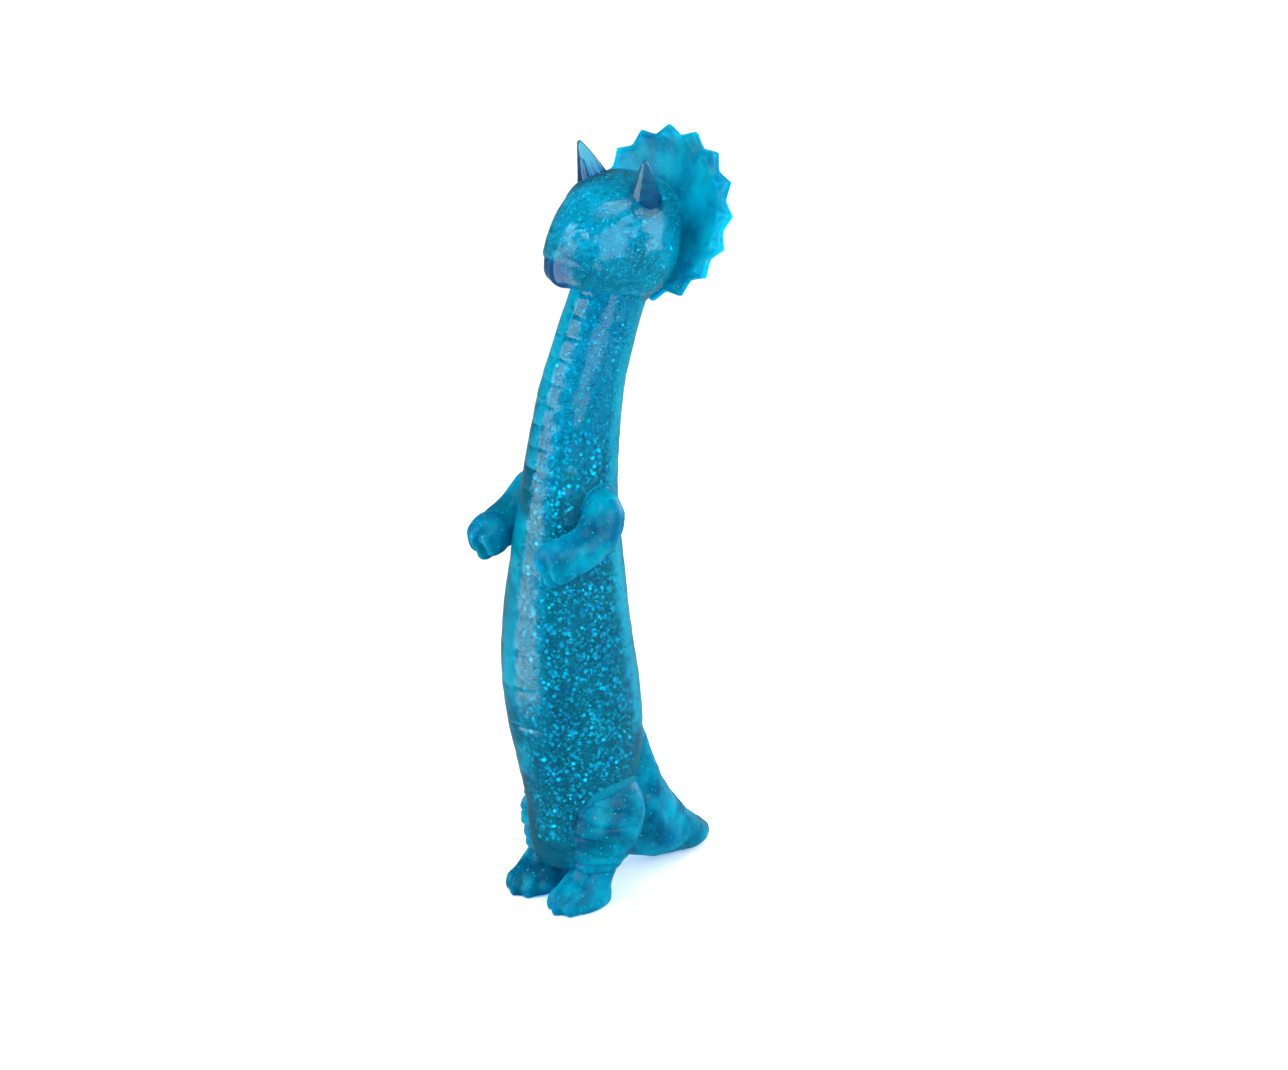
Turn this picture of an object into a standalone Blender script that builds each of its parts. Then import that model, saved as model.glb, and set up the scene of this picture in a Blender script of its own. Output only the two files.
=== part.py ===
"""Squeezable triceratops toy: a clear rubber skin in flexing sections, filled with glitter gel.

Metres, +Z up. The toy faces -Y, its left side is +X, and it stands on z = 0.
"""

import math

import bmesh
import bpy
from mathutils import Vector

MM = 0.001

# ---------------------------------------------------------------- driving dimensions, millimetres
GAP = 0.3  # between two sections
WALL = 5.0  # skin of the body
NECK_WALL = 3.8
HEAD_WALL = 2.8
ORIGIN = (0.0, 14.08, 0.0)  # where the tables put the middle of the whole toy's floor box
SIDES = 12  # cage points round a section
ROUND = 1 / math.cos(math.radians(180 / SIDES))  # subdivision pulls a ring in by this much

# height, centre along Y, half width, half depth of the trunk
TRUNK = [
    (8.0, 3.6, 5.0, 6.5),
    (9.5, 3.6, 8.6, 10.2),
    (15.0, 3.8, 10.6, 12.0),
    (24.0, 4.2, 11.8, 13.1),
    (34.0, 4.3, 13.0, 15.5),
    (46.0, 2.7, 13.9, 16.9),
    (60.0, 0.9, 13.9, 16.6),
    (74.0, 0.2, 12.9, 15.2),
    (87.0, 0.6, 11.5, 13.6),
    (98.0, 1.2, 10.4, 12.2),
    (107.0, 2.2, 9.8, 11.4),
    (116.0, 3.7, 9.4, 10.8),
    (125.0, 5.8, 9.0, 10.3),
    (134.0, 9.1, 8.7, 9.9),
    (143.0, 13.0, 8.6, 9.5),
    (150.0, 16.2, 8.6, 9.5),
]
SHOULDER_FLEX = (104.0, 110.0)  # the three flexing stretches of the neck, along its height
MID_FLEX = (122.2, 127.8)
NAPE_FLEX = (140.6, 145.8)

HEAD_TILT = math.radians(10)
# above the neck's end, back, front, half width, in the tilted head
HEAD = [
    (0.0, -9.0, 9.0, 8.5),
    (0.5, -10.0, 14.8, 9.8),
    (1.0, -11.6, 19.4, 11.8),
    (4.0, -13.0, 19.2, 13.2),
    (8.5, -13.8, 18.6, 14.0),
    (13.0, -14.0, 17.4, 14.2),
    (17.5, -13.8, 15.0, 13.6),
    (21.5, -12.6, 11.4, 12.2),
    (24.6, -10.4, 6.6, 9.6),
    (26.2, -7.6, 2.6, 6.6),
]
# the gel inside the head, the same way round
HEAD_GEL = [
    (0.0, -5.6, 5.6, 5.0),
    (4.0, -5.6, 5.8, 5.2),
    (7.0, -8.0, 10.0, 7.8),
    (10.0, -9.4, 12.4, 9.2),
    (13.6, -9.8, 12.0, 9.6),
    (17.2, -9.4, 9.8, 9.0),
    (20.2, -8.0, 6.4, 7.6),
    (22.4, -5.4, 2.4, 4.8),
]
FRILL_RADIUS = 18.9  # half way between tips and valleys
FRILL_WIDER = 1.09  # across, against up
FRILL_SCALLOP = 1.9
FRILL_THICK = 2.6
FRILL_TIPS = 16
FRILL_CENTRE = (0.0, 29.8, 160.5)
FRILL_TILT = math.radians(20)
HORN_BASE = (8.3, 16.9, 168.6)
HORN_TIP = (10.9, 14.5, 177.9)
HORN_RADIUS = 3.3
EYE = (11.9, 12.4, 163.6)

SHOULDER = (11.85, 1.6, 97.2)  # arm joint
SHOULDER_RADIUS = 5.2
ARM = [  # centre line of the arm and its radius
    ((12.0, 1.6, 97.2), 5.1),
    ((12.9, -2.0, 93.5), 4.9),
    ((12.9, -6.6, 91.0), 4.9),
    ((12.1, -10.8, 90.3), 5.0),
    ((11.4, -14.2, 89.9), 5.0),
    ((11.1, -16.72, 89.1), 3.4),
]
ARM_FREE = ((12.2, 12.0), (14.8, 9.8))  # radius kept clear, out to this X

# height, centre in X and Y, half width, half length of a leg
LEG = [
    (0.0, 7.2, -1.9, 5.2, 7.6),
    (2.2, 7.3, -2.2, 5.7, 8.2),
    (5.0, 7.4, -1.2, 5.3, 7.2),
    (8.6, 7.6, 1.6, 5.0, 5.9),
    (12.6, 8.2, 3.8, 6.1, 8.0),
    (18.0, 8.8, 4.8, 6.9, 9.6),
    (23.5, 8.8, 5.2, 6.9, 9.8),
    (28.0, 8.2, 5.2, 5.7, 8.2),
    (30.8, 7.6, 5.0, 3.2, 4.8),
]
TOES = [(4.4, -8.4, 2.2), (7.3, -9.4, 2.3), (10.2, -8.0, 2.2)]
TOE_RADIUS = 2.2

# distance back, underside, top, half width of the tail
TAIL = [
    (9.0, 4.2, 46.0, 8.2),
    (15.0, 3.6, 48.0, 8.6),
    (20.0, 2.9, 40.4, 8.6),
    (25.0, 2.0, 28.6, 7.8),
    (30.0, 1.1, 20.8, 6.6),
    (35.0, 0.4, 13.8, 5.4),
    (39.5, 0.0, 9.2, 4.2),
    (43.4, 0.4, 6.0, 2.7),
    (45.3, 1.3, 4.3, 1.2),
]
TAIL_FLEX = (28.4, 32.6)

PLUG_RADIUS = 2.3
PLUG_AT = (0.0, 3.6)


# ---------------------------------------------------------------- curves through the stations
def along(rows, at):
    """Smoothly interpolated station of a table, by its first column."""
    n = len(rows)
    k = 0
    while k < n - 2 and rows[k + 1][0] < at:
        k += 1
    before, first, last, after = rows[max(k - 1, 0)], rows[k], rows[k + 1], rows[min(k + 2, n - 1)]
    span = last[0] - first[0]
    t = (at - first[0]) / span
    found = []
    for column in range(1, len(first)):
        a, b = first[column], last[column]
        left = (b - before[column]) / (last[0] - before[0]) * span
        right = (after[column] - a) / (after[0] - first[0]) * span
        if k == 0:
            left = b - a
        if k == n - 2:
            right = b - a
        t2, t3 = t * t, t * t * t
        blend = (2 * t3 - 3 * t2 + 1) * a + (t3 - 2 * t2 + t) * left
        found.append(blend + (3 * t2 - 2 * t3) * b + (t3 - t2) * right)
    return found


def lean(height):
    """Angle by which the trunk's centre line leans back."""
    return math.atan((along(TRUNK, height + 1)[0] - along(TRUNK, height - 1)[0]) / 2)


def trunk_ring(height, shrink=0.0, tilt=None):
    """Cage points of the trunk's section at a height, square to the centre line."""
    centre, wide, deep = along(TRUNK, height)
    slope = lean(height) if tilt is None else tilt
    deep = deep * math.cos(slope)
    ring = []
    for k in range(SIDES):
        turn = 2 * math.pi * k / SIDES
        x = (wide - shrink) * ROUND * math.sin(turn)
        d = -(deep - shrink) * ROUND * math.cos(turn)
        ring.append(Vector((x, centre + d * math.cos(slope), height - d * math.sin(slope))))
    return ring


def head_ring(up, back, front, wide, shrink=0.0):
    """Cage points of the head's section, wider at the back than at the snout."""
    start = Vector((0.0, along(TRUNK, NAPE_FLEX[1])[0], NAPE_FLEX[1] + GAP))
    tilt = HEAD_TILT + (lean(NAPE_FLEX[1]) - HEAD_TILT) * max(0.0, 1 - up)
    ahead = Vector((0.0, -math.cos(tilt), math.sin(tilt)))
    above = Vector((0.0, math.sin(HEAD_TILT), math.cos(HEAD_TILT)))
    back, front, wide = back + shrink, front - shrink, wide - shrink
    middle, half = (front + back) / 2, (front - back) / 2
    ring = []
    for k in range(SIDES):
        turn = 2 * math.pi * k / SIDES
        f = half * math.cos(turn) * ROUND
        egg = 1 - 0.15 * math.cos(turn) * min(1.0, max(0.0, up / 5))
        x = wide * math.sin(turn) * ROUND * egg
        ring.append(start + Vector((x, 0, 0)) + ahead * (middle + f) + above * up)
    return ring


# ---------------------------------------------------------------- objects
def collection(name, hidden=False):
    made = bpy.data.collections.new(name)
    made.hide_render = hidden
    bpy.context.scene.collection.children.link(made)
    return made


def material(name, colour, rough, transmission, ior=1.45):
    made = bpy.data.materials.new(name)
    made.use_nodes = True
    shader = made.node_tree.nodes["Principled BSDF"]
    shader.inputs["Base Color"].default_value = (*colour, 1)
    shader.inputs["Roughness"].default_value = rough
    shader.inputs["Transmission Weight"].default_value = transmission
    shader.inputs["IOR"].default_value = ior
    made.diffuse_color = (*colour, 1)
    return made


def link(name, mesh, where, look, pivot=ORIGIN):
    """Object with its origin on its body's joint, holding a mesh given in the tables' millimetres."""
    for vertex in mesh.vertices:
        vertex.co = (vertex.co - Vector(pivot)) * MM
    obj = bpy.data.objects.new(name, mesh)
    obj.location = (Vector(pivot) - Vector(ORIGIN)) * MM
    if look:
        mesh.materials.append(look)
    for face in mesh.polygons:
        face.use_smooth = True
    where.objects.link(obj)
    return obj


def tube(name, rings, close_start=False, close_end=False):
    """Skin through a row of rings; an end may be closed with one face."""
    bm = bmesh.new()
    rows = [[bm.verts.new(point) for point in ring] for ring in rings]
    count = len(rows[0])
    for low, high in zip(rows, rows[1:]):
        for k in range(count):
            n = (k + 1) % count
            bm.faces.new((low[k], low[n], high[n], high[k]))
    if close_start:
        bm.faces.new(list(reversed(rows[0])))
    if close_end:
        bm.faces.new(rows[-1])
    bmesh.ops.recalc_face_normals(bm, faces=bm.faces)
    mesh = bpy.data.meshes.new(name)
    bm.to_mesh(mesh)
    bm.free()
    return mesh


def smooth(obj, levels=1):
    made = obj.modifiers.new("Smooth", "SUBSURF")
    made.levels = levels
    made.render_levels = levels
    return obj


def hollow(obj, wall):
    made = obj.modifiers.new("Wall", "SOLIDIFY")
    made.thickness = wall * MM
    made.offset = -1
    made.use_even_offset = True
    return obj


def cut(obj, cutter, name="Cut"):
    made = obj.modifiers.new(name, "BOOLEAN")
    made.operation = "DIFFERENCE"
    made.solver = "EXACT"
    made.object = cutter
    return obj


def join(obj, other, name="Join"):
    made = obj.modifiers.new(name, "BOOLEAN")
    made.operation = "UNION"
    made.solver = "EXACT"
    made.object = other
    return obj


def ball(name, centre, radii, where, look=None, pivot=ORIGIN, segments=12, rings=8):
    bm = bmesh.new()
    bmesh.ops.create_uvsphere(bm, u_segments=segments, v_segments=rings, radius=1)
    for vertex in bm.verts:
        vertex.co = Vector(centre) + Vector([a * b for a, b in zip(vertex.co, radii)])
    mesh = bpy.data.meshes.new(name)
    bm.to_mesh(mesh)
    bm.free()
    return link(name, mesh, where, look, pivot)


def cylinder(name, centre, axis, radius, length, where, look=None, pivot=ORIGIN, top=None, segments=24):
    """Cylinder or cone standing on a point, along an axis."""
    bm = bmesh.new()
    top = radius if top is None else top
    bmesh.ops.create_cone(bm, cap_ends=True, segments=segments, radius1=radius, radius2=top, depth=length)
    turn = Vector((0, 0, 1)).rotation_difference(Vector(axis).normalized()).to_matrix()
    for vertex in bm.verts:
        vertex.co = Vector(centre) + turn @ (vertex.co + Vector((0, 0, length / 2)))
    mesh = bpy.data.meshes.new(name)
    bm.to_mesh(mesh)
    bm.free()
    return link(name, mesh, where, look, pivot)


def path_rings(path, side):
    """Rings round a centre line given as (point, radius); side is 1 for the left, -1 for the right."""
    points = [Vector((side * p[0], p[1], p[2])) for p, _ in path]
    rings = []
    across = Vector((side, 0, 0))
    for k, point in enumerate(points):
        ahead = points[min(k + 1, len(points) - 1)] - points[max(k - 1, 0)]
        ahead.normalize()
        u = (across - ahead * across.dot(ahead)).normalized()
        v = ahead.cross(u)
        radius = path[k][1] * ROUND
        ring = []
        for j in range(SIDES):
            turn = 2 * math.pi * j / SIDES
            ring.append(point + u * radius * math.cos(turn) + v * radius * math.sin(turn))
        rings.append(ring)
    return rings


# ---------------------------------------------------------------- clean scene and looks
for old in list(bpy.data.objects):
    bpy.data.objects.remove(old, do_unlink=True)

TOY = collection("Gel_Triceratops")
CUTTERS = collection("Cutters", hidden=True)

SKIN = material("Clear blue rubber", (0.01, 0.42, 0.62), 0.16, 0.55)
LIMB = material("Solid blue rubber", (0.005, 0.36, 0.60), 0.2, 0.35)
GEL = material("Glitter gel", (0.0, 0.22, 0.34), 0.3, 0.3, 1.4)
HORN = material("Pale clear rubber", (0.25, 0.62, 0.70), 0.12, 0.7)
GLUE = material("Sealing glue", (0.55, 0.72, 0.75), 0.25, 0.5)

shoulder_mid = (SHOULDER_FLEX[0] + SHOULDER_FLEX[1]) / 2
neck_mid = (MID_FLEX[0] + MID_FLEX[1]) / 2
nape_mid = (NAPE_FLEX[0] + NAPE_FLEX[1]) / 2
PIVOT = {
    "torso": ORIGIN,
    "neck_lower": (0, along(TRUNK, shoulder_mid)[0], shoulder_mid),
    "neck_upper": (0, along(TRUNK, neck_mid)[0], neck_mid),
    "head": (0, along(TRUNK, nape_mid)[0], nape_mid),
    "left_arm": SHOULDER,
    "right_arm": (-SHOULDER[0], SHOULDER[1], SHOULDER[2]),
    "tail": (0, sum(TAIL_FLEX) / 2, 9.0),
}


# ---------------------------------------------------------------- trunk: body, neck and their gel
def spread(low, high, count):
    return [low + (high - low) * k / (count - 1) for k in range(count)]


def neck_section(name, low, high, wall, body, rows=3):
    """An open sleeve of skin and the slug of gel inside it, both square to the neck at their ends."""
    heights = spread(low, high, rows)
    skin = link(name, tube(name, [trunk_ring(z) for z in heights]), TOY, SKIN, PIVOT[body])
    hollow(smooth(skin), wall)
    inner = [trunk_ring(z, wall + GAP) for z in heights]
    gel_name = name.replace("_skin", "") + "_gel"
    gel_mesh = tube(gel_name, inner, True, True)
    gel = link(gel_name, gel_mesh, TOY, GEL, PIVOT[body])
    crease_ends(gel, rows)
    smooth(gel)
    return skin, gel


def crease_ends(obj, rows, last_too=True):
    """Keeps the flat ends of a closed tube flat and sharp."""
    bm = bmesh.new()
    bm.from_mesh(obj.data)
    layer = bm.edges.layers.float.new("crease_edge")
    bm.verts.ensure_lookup_table()
    last = (rows - 1) * SIDES
    for edge in bm.edges:
        a, b = (v.index for v in edge.verts)
        if (a < SIDES and b < SIDES) or (last_too and a >= last and b >= last):
            edge[layer] = 1.0
    bm.to_mesh(obj.data)
    bm.free()


body_heights = [8.0, 9.5, 15.0, 24.0, 34.0, 46.0, 60.0, 74.0, 87.0, 96.0, SHOULDER_FLEX[0]]
body_rings = [trunk_ring(z, 0, 0) for z in body_heights[:-1]] + [trunk_ring(body_heights[-1])]
torso = link("torso_skin", tube("torso_skin", body_rings, True), TOY, SKIN)
hollow(smooth(torso), WALL)
fill_hole = cylinder("fill_hole", (*PLUG_AT, 2), (0, 0, 1), PLUG_RADIUS, 14, CUTTERS)
cut(torso, fill_hole)

gel_heights = [15.0, 17.5, 21.0, 26.0, 34.0, 46.0, 60.0, 74.0, 87.0, 96.0, SHOULDER_FLEX[0]]
gel_rings = [trunk_ring(z, WALL + GAP, 0) for z in gel_heights[:-1]]
gel_rings[0] = [Vector((p.x * 0.5, 3.6 + (p.y - 3.6) * 0.5, p.z)) for p in gel_rings[0]]
gel_rings.append(trunk_ring(gel_heights[-1], WALL + GAP))
gel = link("torso_gel", tube("torso_gel", gel_rings, True, True), TOY, GEL)
crease_ends(gel, len(gel_rings))
smooth(gel)

neck_section("neck_base_flex", SHOULDER_FLEX[0] + GAP, SHOULDER_FLEX[1], NECK_WALL, "neck_lower")
neck_section("lower_neck_skin", SHOULDER_FLEX[1] + GAP, MID_FLEX[0], NECK_WALL, "neck_lower", 4)
neck_section("mid_neck_flex", MID_FLEX[0] + GAP, MID_FLEX[1], NECK_WALL, "neck_upper")
neck_section("upper_neck_skin", MID_FLEX[1] + GAP, NAPE_FLEX[0], NECK_WALL, "neck_upper", 4)
neck_section("nape_flex", NAPE_FLEX[0] + GAP, NAPE_FLEX[1], NECK_WALL, "head")

# ---------------------------------------------------------------- head
head_rings = [head_ring(*row) for row in HEAD]
skull = link("head_skin", tube("head_skin", head_rings, False, True), TOY, SKIN, PIVOT["head"])
hollow(smooth(skull), HEAD_WALL)
inner_rings = [head_ring(*row) for row in HEAD_GEL]
brain = link("head_gel", tube("head_gel", inner_rings, True, True), TOY, GEL, PIVOT["head"])
crease_ends(brain, len(HEAD_GEL), last_too=False)
smooth(brain)

# a solid a little larger than the head, that shapes what is moulded onto it
clear_rings = [head_ring(*row, shrink=-GAP) for row in HEAD]
head_clear = link("head_clear", tube("head_clear", clear_rings, True, True), CUTTERS, None)
smooth(head_clear)

frill_rows = []
frill_sides = FRILL_TIPS * 4
tilt_back = Vector((0.0, -math.cos(FRILL_TILT), math.sin(FRILL_TILT)))
tilt_up = Vector((0.0, math.sin(FRILL_TILT), math.cos(FRILL_TILT)))


def frill_ring(reach, ahead, scallop):
    """One ring of the frill: reach from its centre, how far forward, and how strong the points are."""
    ring = []
    for k in range(frill_sides):
        turn = 2 * math.pi * k / frill_sides
        point = 1 - abs((k % 4) - 2) / 2  # 1 at a tip, 0 between two tips
        radius = reach + scallop * (point ** 1.3 - 0.5)
        where = Vector(FRILL_CENTRE) + tilt_back * ahead
        where = where + Vector((1, 0, 0)) * radius * FRILL_WIDER * math.sin(turn)
        ring.append(where + tilt_up * radius * math.cos(turn))
    return ring


R, T = FRILL_RADIUS, FRILL_THICK
frill_rows = [
    frill_ring(R * 0.30, -0.4, 0),
    frill_ring(R * 0.72, -0.1, 0),
    frill_ring(R * 0.93, 0.6, FRILL_SCALLOP * 0.4),
    frill_ring(R, 0.8, FRILL_SCALLOP),
    frill_ring(R, -0.5, FRILL_SCALLOP),
    frill_ring(R * 0.93, -1.1, FRILL_SCALLOP * 0.4),
    frill_ring(R * 0.72, -0.1 - T, 0),
    frill_ring(R * 0.30, -0.6 - T, 0),
]
frill = link("frill", tube("frill", frill_rows, True, True), TOY, LIMB, PIVOT["head"])
cut(frill, head_clear)

for side, word in ((1, "left"), (-1, "right")):
    base = Vector((side * HORN_BASE[0], HORN_BASE[1], HORN_BASE[2]))
    tip = Vector((side * HORN_TIP[0], HORN_TIP[1], HORN_TIP[2]))
    stem = [(base, HORN_RADIUS * 1.2), (base.lerp(tip, 0.35), HORN_RADIUS * 0.95)]
    stem += [(base.lerp(tip, 0.7), HORN_RADIUS * 0.55), (tip, HORN_RADIUS * 0.2)]
    flat = [((p.x * side, p.y, p.z), r) for p, r in stem]
    horn_mesh = tube(word + "_brow_horn", path_rings(flat, side), True, True)
    horn = link(word + "_brow_horn", horn_mesh, TOY, HORN, PIVOT["head"])
    cut(smooth(horn), head_clear)
    eye_at = (side * EYE[0], EYE[1], EYE[2])
    eye = ball(word + "_eye", eye_at, (1.8, 2.9, 1.9), TOY, LIMB, PIVOT["head"], 16, 10)
    cut(eye, head_clear)

# ---------------------------------------------------------------- what is moulded onto the body
outer_heights = body_heights[:-1] + [SHOULDER_FLEX[0], 112.0, 118.0]
clear = [trunk_ring(z, -GAP, 0) for z in outer_heights]
clear[0] = [Vector((p.x, p.y, p.z - GAP)) for p in clear[0]]
body_clear = link("body_clear", tube("body_clear", clear, True, True), CUTTERS, None)
smooth(body_clear)


def leg_rings(side, grow=0.0):
    """Cage of a leg; the clearance round it is the same cage grown by a gap."""
    rings = []
    for z, x, y, wide, long in LEG:
        ring = []
        for k in range(SIDES):
            turn = 2 * math.pi * k / SIDES
            px = side * x + (wide + grow) * ROUND * math.sin(turn) * side
            py = y - (long + grow) * ROUND * math.cos(turn)
            ring.append(Vector((px, py, z)))
        rings.append(ring)
    return rings


leg_clear = {}
for side, word in ((1, "left"), (-1, "right")):
    clear_mesh = tube(word + "_leg_clear", leg_rings(side, GAP + 0.15), True, True)
    leg_clear[word] = smooth(link(word + "_leg_clear", clear_mesh, CUTTERS, None))

for side, word in ((1, "left"), (-1, "right")):
    at = Vector((side * SHOULDER[0], SHOULDER[1], SHOULDER[2]))
    inward = at - Vector((side * 4.0, 0, 0))
    pad = cylinder(
        word + "_shoulder", inward, (side, 0, 0), SHOULDER_RADIUS, 4.0 - GAP / 2, TOY, LIMB
    )
    cut(pad, body_clear)
    arm_mesh = tube(word + "_arm", path_rings(ARM, side), True, True)
    arm = link(word + "_arm", arm_mesh, TOY, LIMB, PIVOT[word + "_arm"])
    smooth(arm)
    for number, (radius, reach) in enumerate(ARM_FREE):
        foot = (side * (reach - 8.0), SHOULDER[1], SHOULDER[2])
        name = word + "_arm_clear_" + str(number + 1)
        clear_disc = cylinder(name, foot, (side, 0, 0), radius, 8.0, CUTTERS, segments=32)
        cut(arm, clear_disc, "Clear of the body " + str(number + 1))

    leg = link(word + "_leg", tube(word + "_leg", leg_rings(side), True, True), TOY, LIMB)
    crease_ends(leg, len(LEG), last_too=False)
    smooth(leg)
    for number, (x, y, z) in enumerate(TOES):
        toe_name = word + "_toe_" + str(number + 1)
        toe = ball(toe_name, (side * x, y, z), (1.9, 2.6, TOE_RADIUS - 0.02), CUTTERS)
        join(leg, toe, "Toe " + str(number + 1))
    cut(leg, body_clear)

# ---------------------------------------------------------------- tail
def tail_ring(y):
    low, high, wide = along(TAIL, y)
    ring = []
    for k in range(SIDES):
        turn = 2 * math.pi * k / SIDES
        height = (low + high) / 2 - (high - low) / 2 * math.cos(turn) * ROUND
        flatten = 1.0 if height > (low + high) / 2 else 1.12
        x = wide * math.sin(turn) * ROUND * flatten
        ring.append(Vector((x, y, max(height, low))))
    return ring


def tail_section(name, low, high, rows, body, open_end=True):
    mesh = tube(name, [tail_ring(y) for y in spread(low, high, rows)], True, True)
    obj = link(name, mesh, TOY, LIMB, PIVOT[body])
    crease_ends(obj, rows, last_too=open_end)
    return smooth(obj)


tail_root = tail_section("tail_root", TAIL[0][0], TAIL_FLEX[0], 6, "torso")
cut(tail_root, body_clear)
cut(tail_root, leg_clear["left"], "Left thigh")
cut(tail_root, leg_clear["right"], "Right thigh")
tail_section("tail_flex", TAIL_FLEX[0] + GAP, TAIL_FLEX[1], 3, "tail")
tail_section("tail_tip", TAIL_FLEX[1] + GAP, TAIL[-1][0], 6, "tail", False)

# ---------------------------------------------------------------- filling plug and its glue
plug_top = 8.0 + WALL + 0.6
plug = cylinder(
    "fill_plug", (*PLUG_AT, 8.4), (0, 0, 1), PLUG_RADIUS - GAP, plug_top - 8.4, TOY, LIMB
)
bead = cylinder("plug_seal", (*PLUG_AT, 6.9), (0, 0, 1), PLUG_RADIUS - 0.4, 1.2, TOY, GLUE, top=PLUG_RADIUS - 0.5)

for cutter in CUTTERS.objects:
    cutter.hide_render = True
    cutter.display_type = "WIRE"
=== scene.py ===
"""Looks of the squeezable triceratops toy: clear blue rubber over a core of glitter gel.

Tables are in millimetres, in the toy's own frame: it faces -Y, its left side is +X,
and Y is counted from the body's axis. world() turns them into the model's metres.
"""

import math

import bmesh
import bpy
import numpy as np
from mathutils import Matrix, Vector

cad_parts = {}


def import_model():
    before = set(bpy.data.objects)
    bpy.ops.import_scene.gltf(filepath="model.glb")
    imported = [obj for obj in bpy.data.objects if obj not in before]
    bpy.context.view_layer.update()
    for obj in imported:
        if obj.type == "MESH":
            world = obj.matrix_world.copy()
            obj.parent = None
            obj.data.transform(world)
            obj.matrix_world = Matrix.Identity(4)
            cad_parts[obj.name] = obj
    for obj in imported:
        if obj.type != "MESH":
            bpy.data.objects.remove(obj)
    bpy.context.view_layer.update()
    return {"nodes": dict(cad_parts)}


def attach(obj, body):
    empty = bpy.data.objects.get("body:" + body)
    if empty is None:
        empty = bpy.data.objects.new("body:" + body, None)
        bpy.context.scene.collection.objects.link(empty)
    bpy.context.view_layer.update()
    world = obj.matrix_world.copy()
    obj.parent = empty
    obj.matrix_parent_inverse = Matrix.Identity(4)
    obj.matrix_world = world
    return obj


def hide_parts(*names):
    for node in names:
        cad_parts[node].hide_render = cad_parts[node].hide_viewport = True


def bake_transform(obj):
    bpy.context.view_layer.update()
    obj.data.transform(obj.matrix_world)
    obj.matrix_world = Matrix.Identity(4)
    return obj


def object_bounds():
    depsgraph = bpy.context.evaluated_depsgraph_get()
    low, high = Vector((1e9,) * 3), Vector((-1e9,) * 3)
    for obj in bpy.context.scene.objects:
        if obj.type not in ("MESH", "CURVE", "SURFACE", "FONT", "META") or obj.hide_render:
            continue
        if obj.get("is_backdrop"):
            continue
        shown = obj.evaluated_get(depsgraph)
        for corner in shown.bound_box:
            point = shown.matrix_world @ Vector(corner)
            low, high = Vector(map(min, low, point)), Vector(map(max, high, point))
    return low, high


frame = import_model()

MM = 0.001
ORIGIN = np.array((0.0, 14.08, 0.0))  # the middle of the toy's floor box, in the tables
TURN = 2 * math.pi

# ---------------------------------------------------------------- shape tables, millimetres
UNDERSIDE = 8.0  # lowest height of the trunk
TRUNK_TOP = 150.0
CORNER_RISE = 1.5  # height of the rounded corner under the trunk
# height, centre along Y, half width, half depth of the trunk
TRUNK = [
    (8.0, 3.6, 5.0, 6.5),
    (9.5, 3.6, 8.6, 10.2),
    (15.0, 3.8, 10.6, 12.0),
    (24.0, 4.2, 11.8, 13.1),
    (34.0, 4.3, 13.0, 15.5),
    (46.0, 2.7, 13.9, 16.9),
    (60.0, 0.9, 13.9, 16.6),
    (74.0, 0.2, 12.9, 15.2),
    (87.0, 0.6, 11.5, 13.6),
    (98.0, 1.2, 10.4, 12.2),
    (107.0, 2.2, 9.8, 11.4),
    (116.0, 3.7, 9.4, 10.8),
    (125.0, 5.8, 9.0, 10.3),
    (134.0, 9.1, 8.7, 9.9),
    (143.0, 13.0, 8.6, 9.5),
    (150.0, 16.2, 8.6, 9.5),
]
SHOULDER_FLEX = (104.0, 110.0)  # the three flexing stretches of the neck
MID_FLEX = (122.2, 127.8)
NAPE_FLEX = (140.6, 145.8)
LOW_CUT = 116.0  # where one skin piece hands over to the next
HIGH_CUT = 134.2
NECK_TOP = NAPE_FLEX[1]
NECK_GEL_TOP = NECK_TOP - 1.5  # where the neck's inner wall goes over into the head's
PLATES_FROM, SMALL_PLATES_FROM = 26, 96  # heights
BELLY_PLATE, NECK_PLATE = 9.4, 4.6  # height of one plate, low and high up
# height and thickness of the clear skin
SKIN = [
    (8.0, 4.2), (20.0, 4.6), (34.0, 5.6), (60.0, 6.1),
    (87.0, 5.2), (104.0, 4.5), (120.0, 4.1), (146.0, 3.7),
]

HEAD_TILT = math.radians(10)
# along the outline, above the neck's end, back, front, half width, in the tilted head
HEAD = [
    (0.0, 0.0, -9.0, 9.0, 8.5),
    (6.0, 0.7, -10.0, 13.4, 9.8),
    (10.5, 1.9, -11.6, 16.8, 11.8),
    (14.0, 4.6, -13.0, 18.2, 13.2),
    (18.5, 8.7, -13.8, 18.2, 14.0),
    (23.0, 13.0, -14.0, 16.9, 14.2),
    (28.0, 17.5, -13.8, 14.8, 13.6),
    (33.4, 21.5, -12.6, 11.4, 12.2),
    (38.6, 24.6, -10.4, 6.6, 9.6),
    (43.0, 26.2, -7.4, 2.2, 6.4),
    (46.0, 26.7, -4.6, -0.8, 3.0),
    (48.0, 26.8, -2.8, -2.6, 0.2),
]
HEAD_GEL = [
    (0.0, 0.0, -6.0, 6.0, 5.6),
    (3.0, 3.0, -6.6, 6.8, 6.2),
    (7.0, 6.0, -9.4, 12.0, 9.6),
    (11.0, 9.6, -10.8, 14.6, 11.2),
    (15.0, 13.6, -11.2, 14.2, 11.6),
    (19.0, 17.2, -10.8, 11.8, 10.8),
    (22.4, 20.4, -9.4, 8.2, 9.0),
    (25.6, 23.0, -6.8, 3.6, 6.0),
    (28.0, 24.2, -4.2, 0.0, 3.0),
    (30.0, 24.4, -2.2, -2.0, 0.2),
]
FRILL_RADIUS = 18.9
FRILL_WIDER = 1.09  # width against height
FRILL_SCALLOP = 1.9
FRILL_THICK = 2.6
FRILL_TIPS = 16
FRILL_PER_TIP = 14  # points of the rim for each scallop
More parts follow.
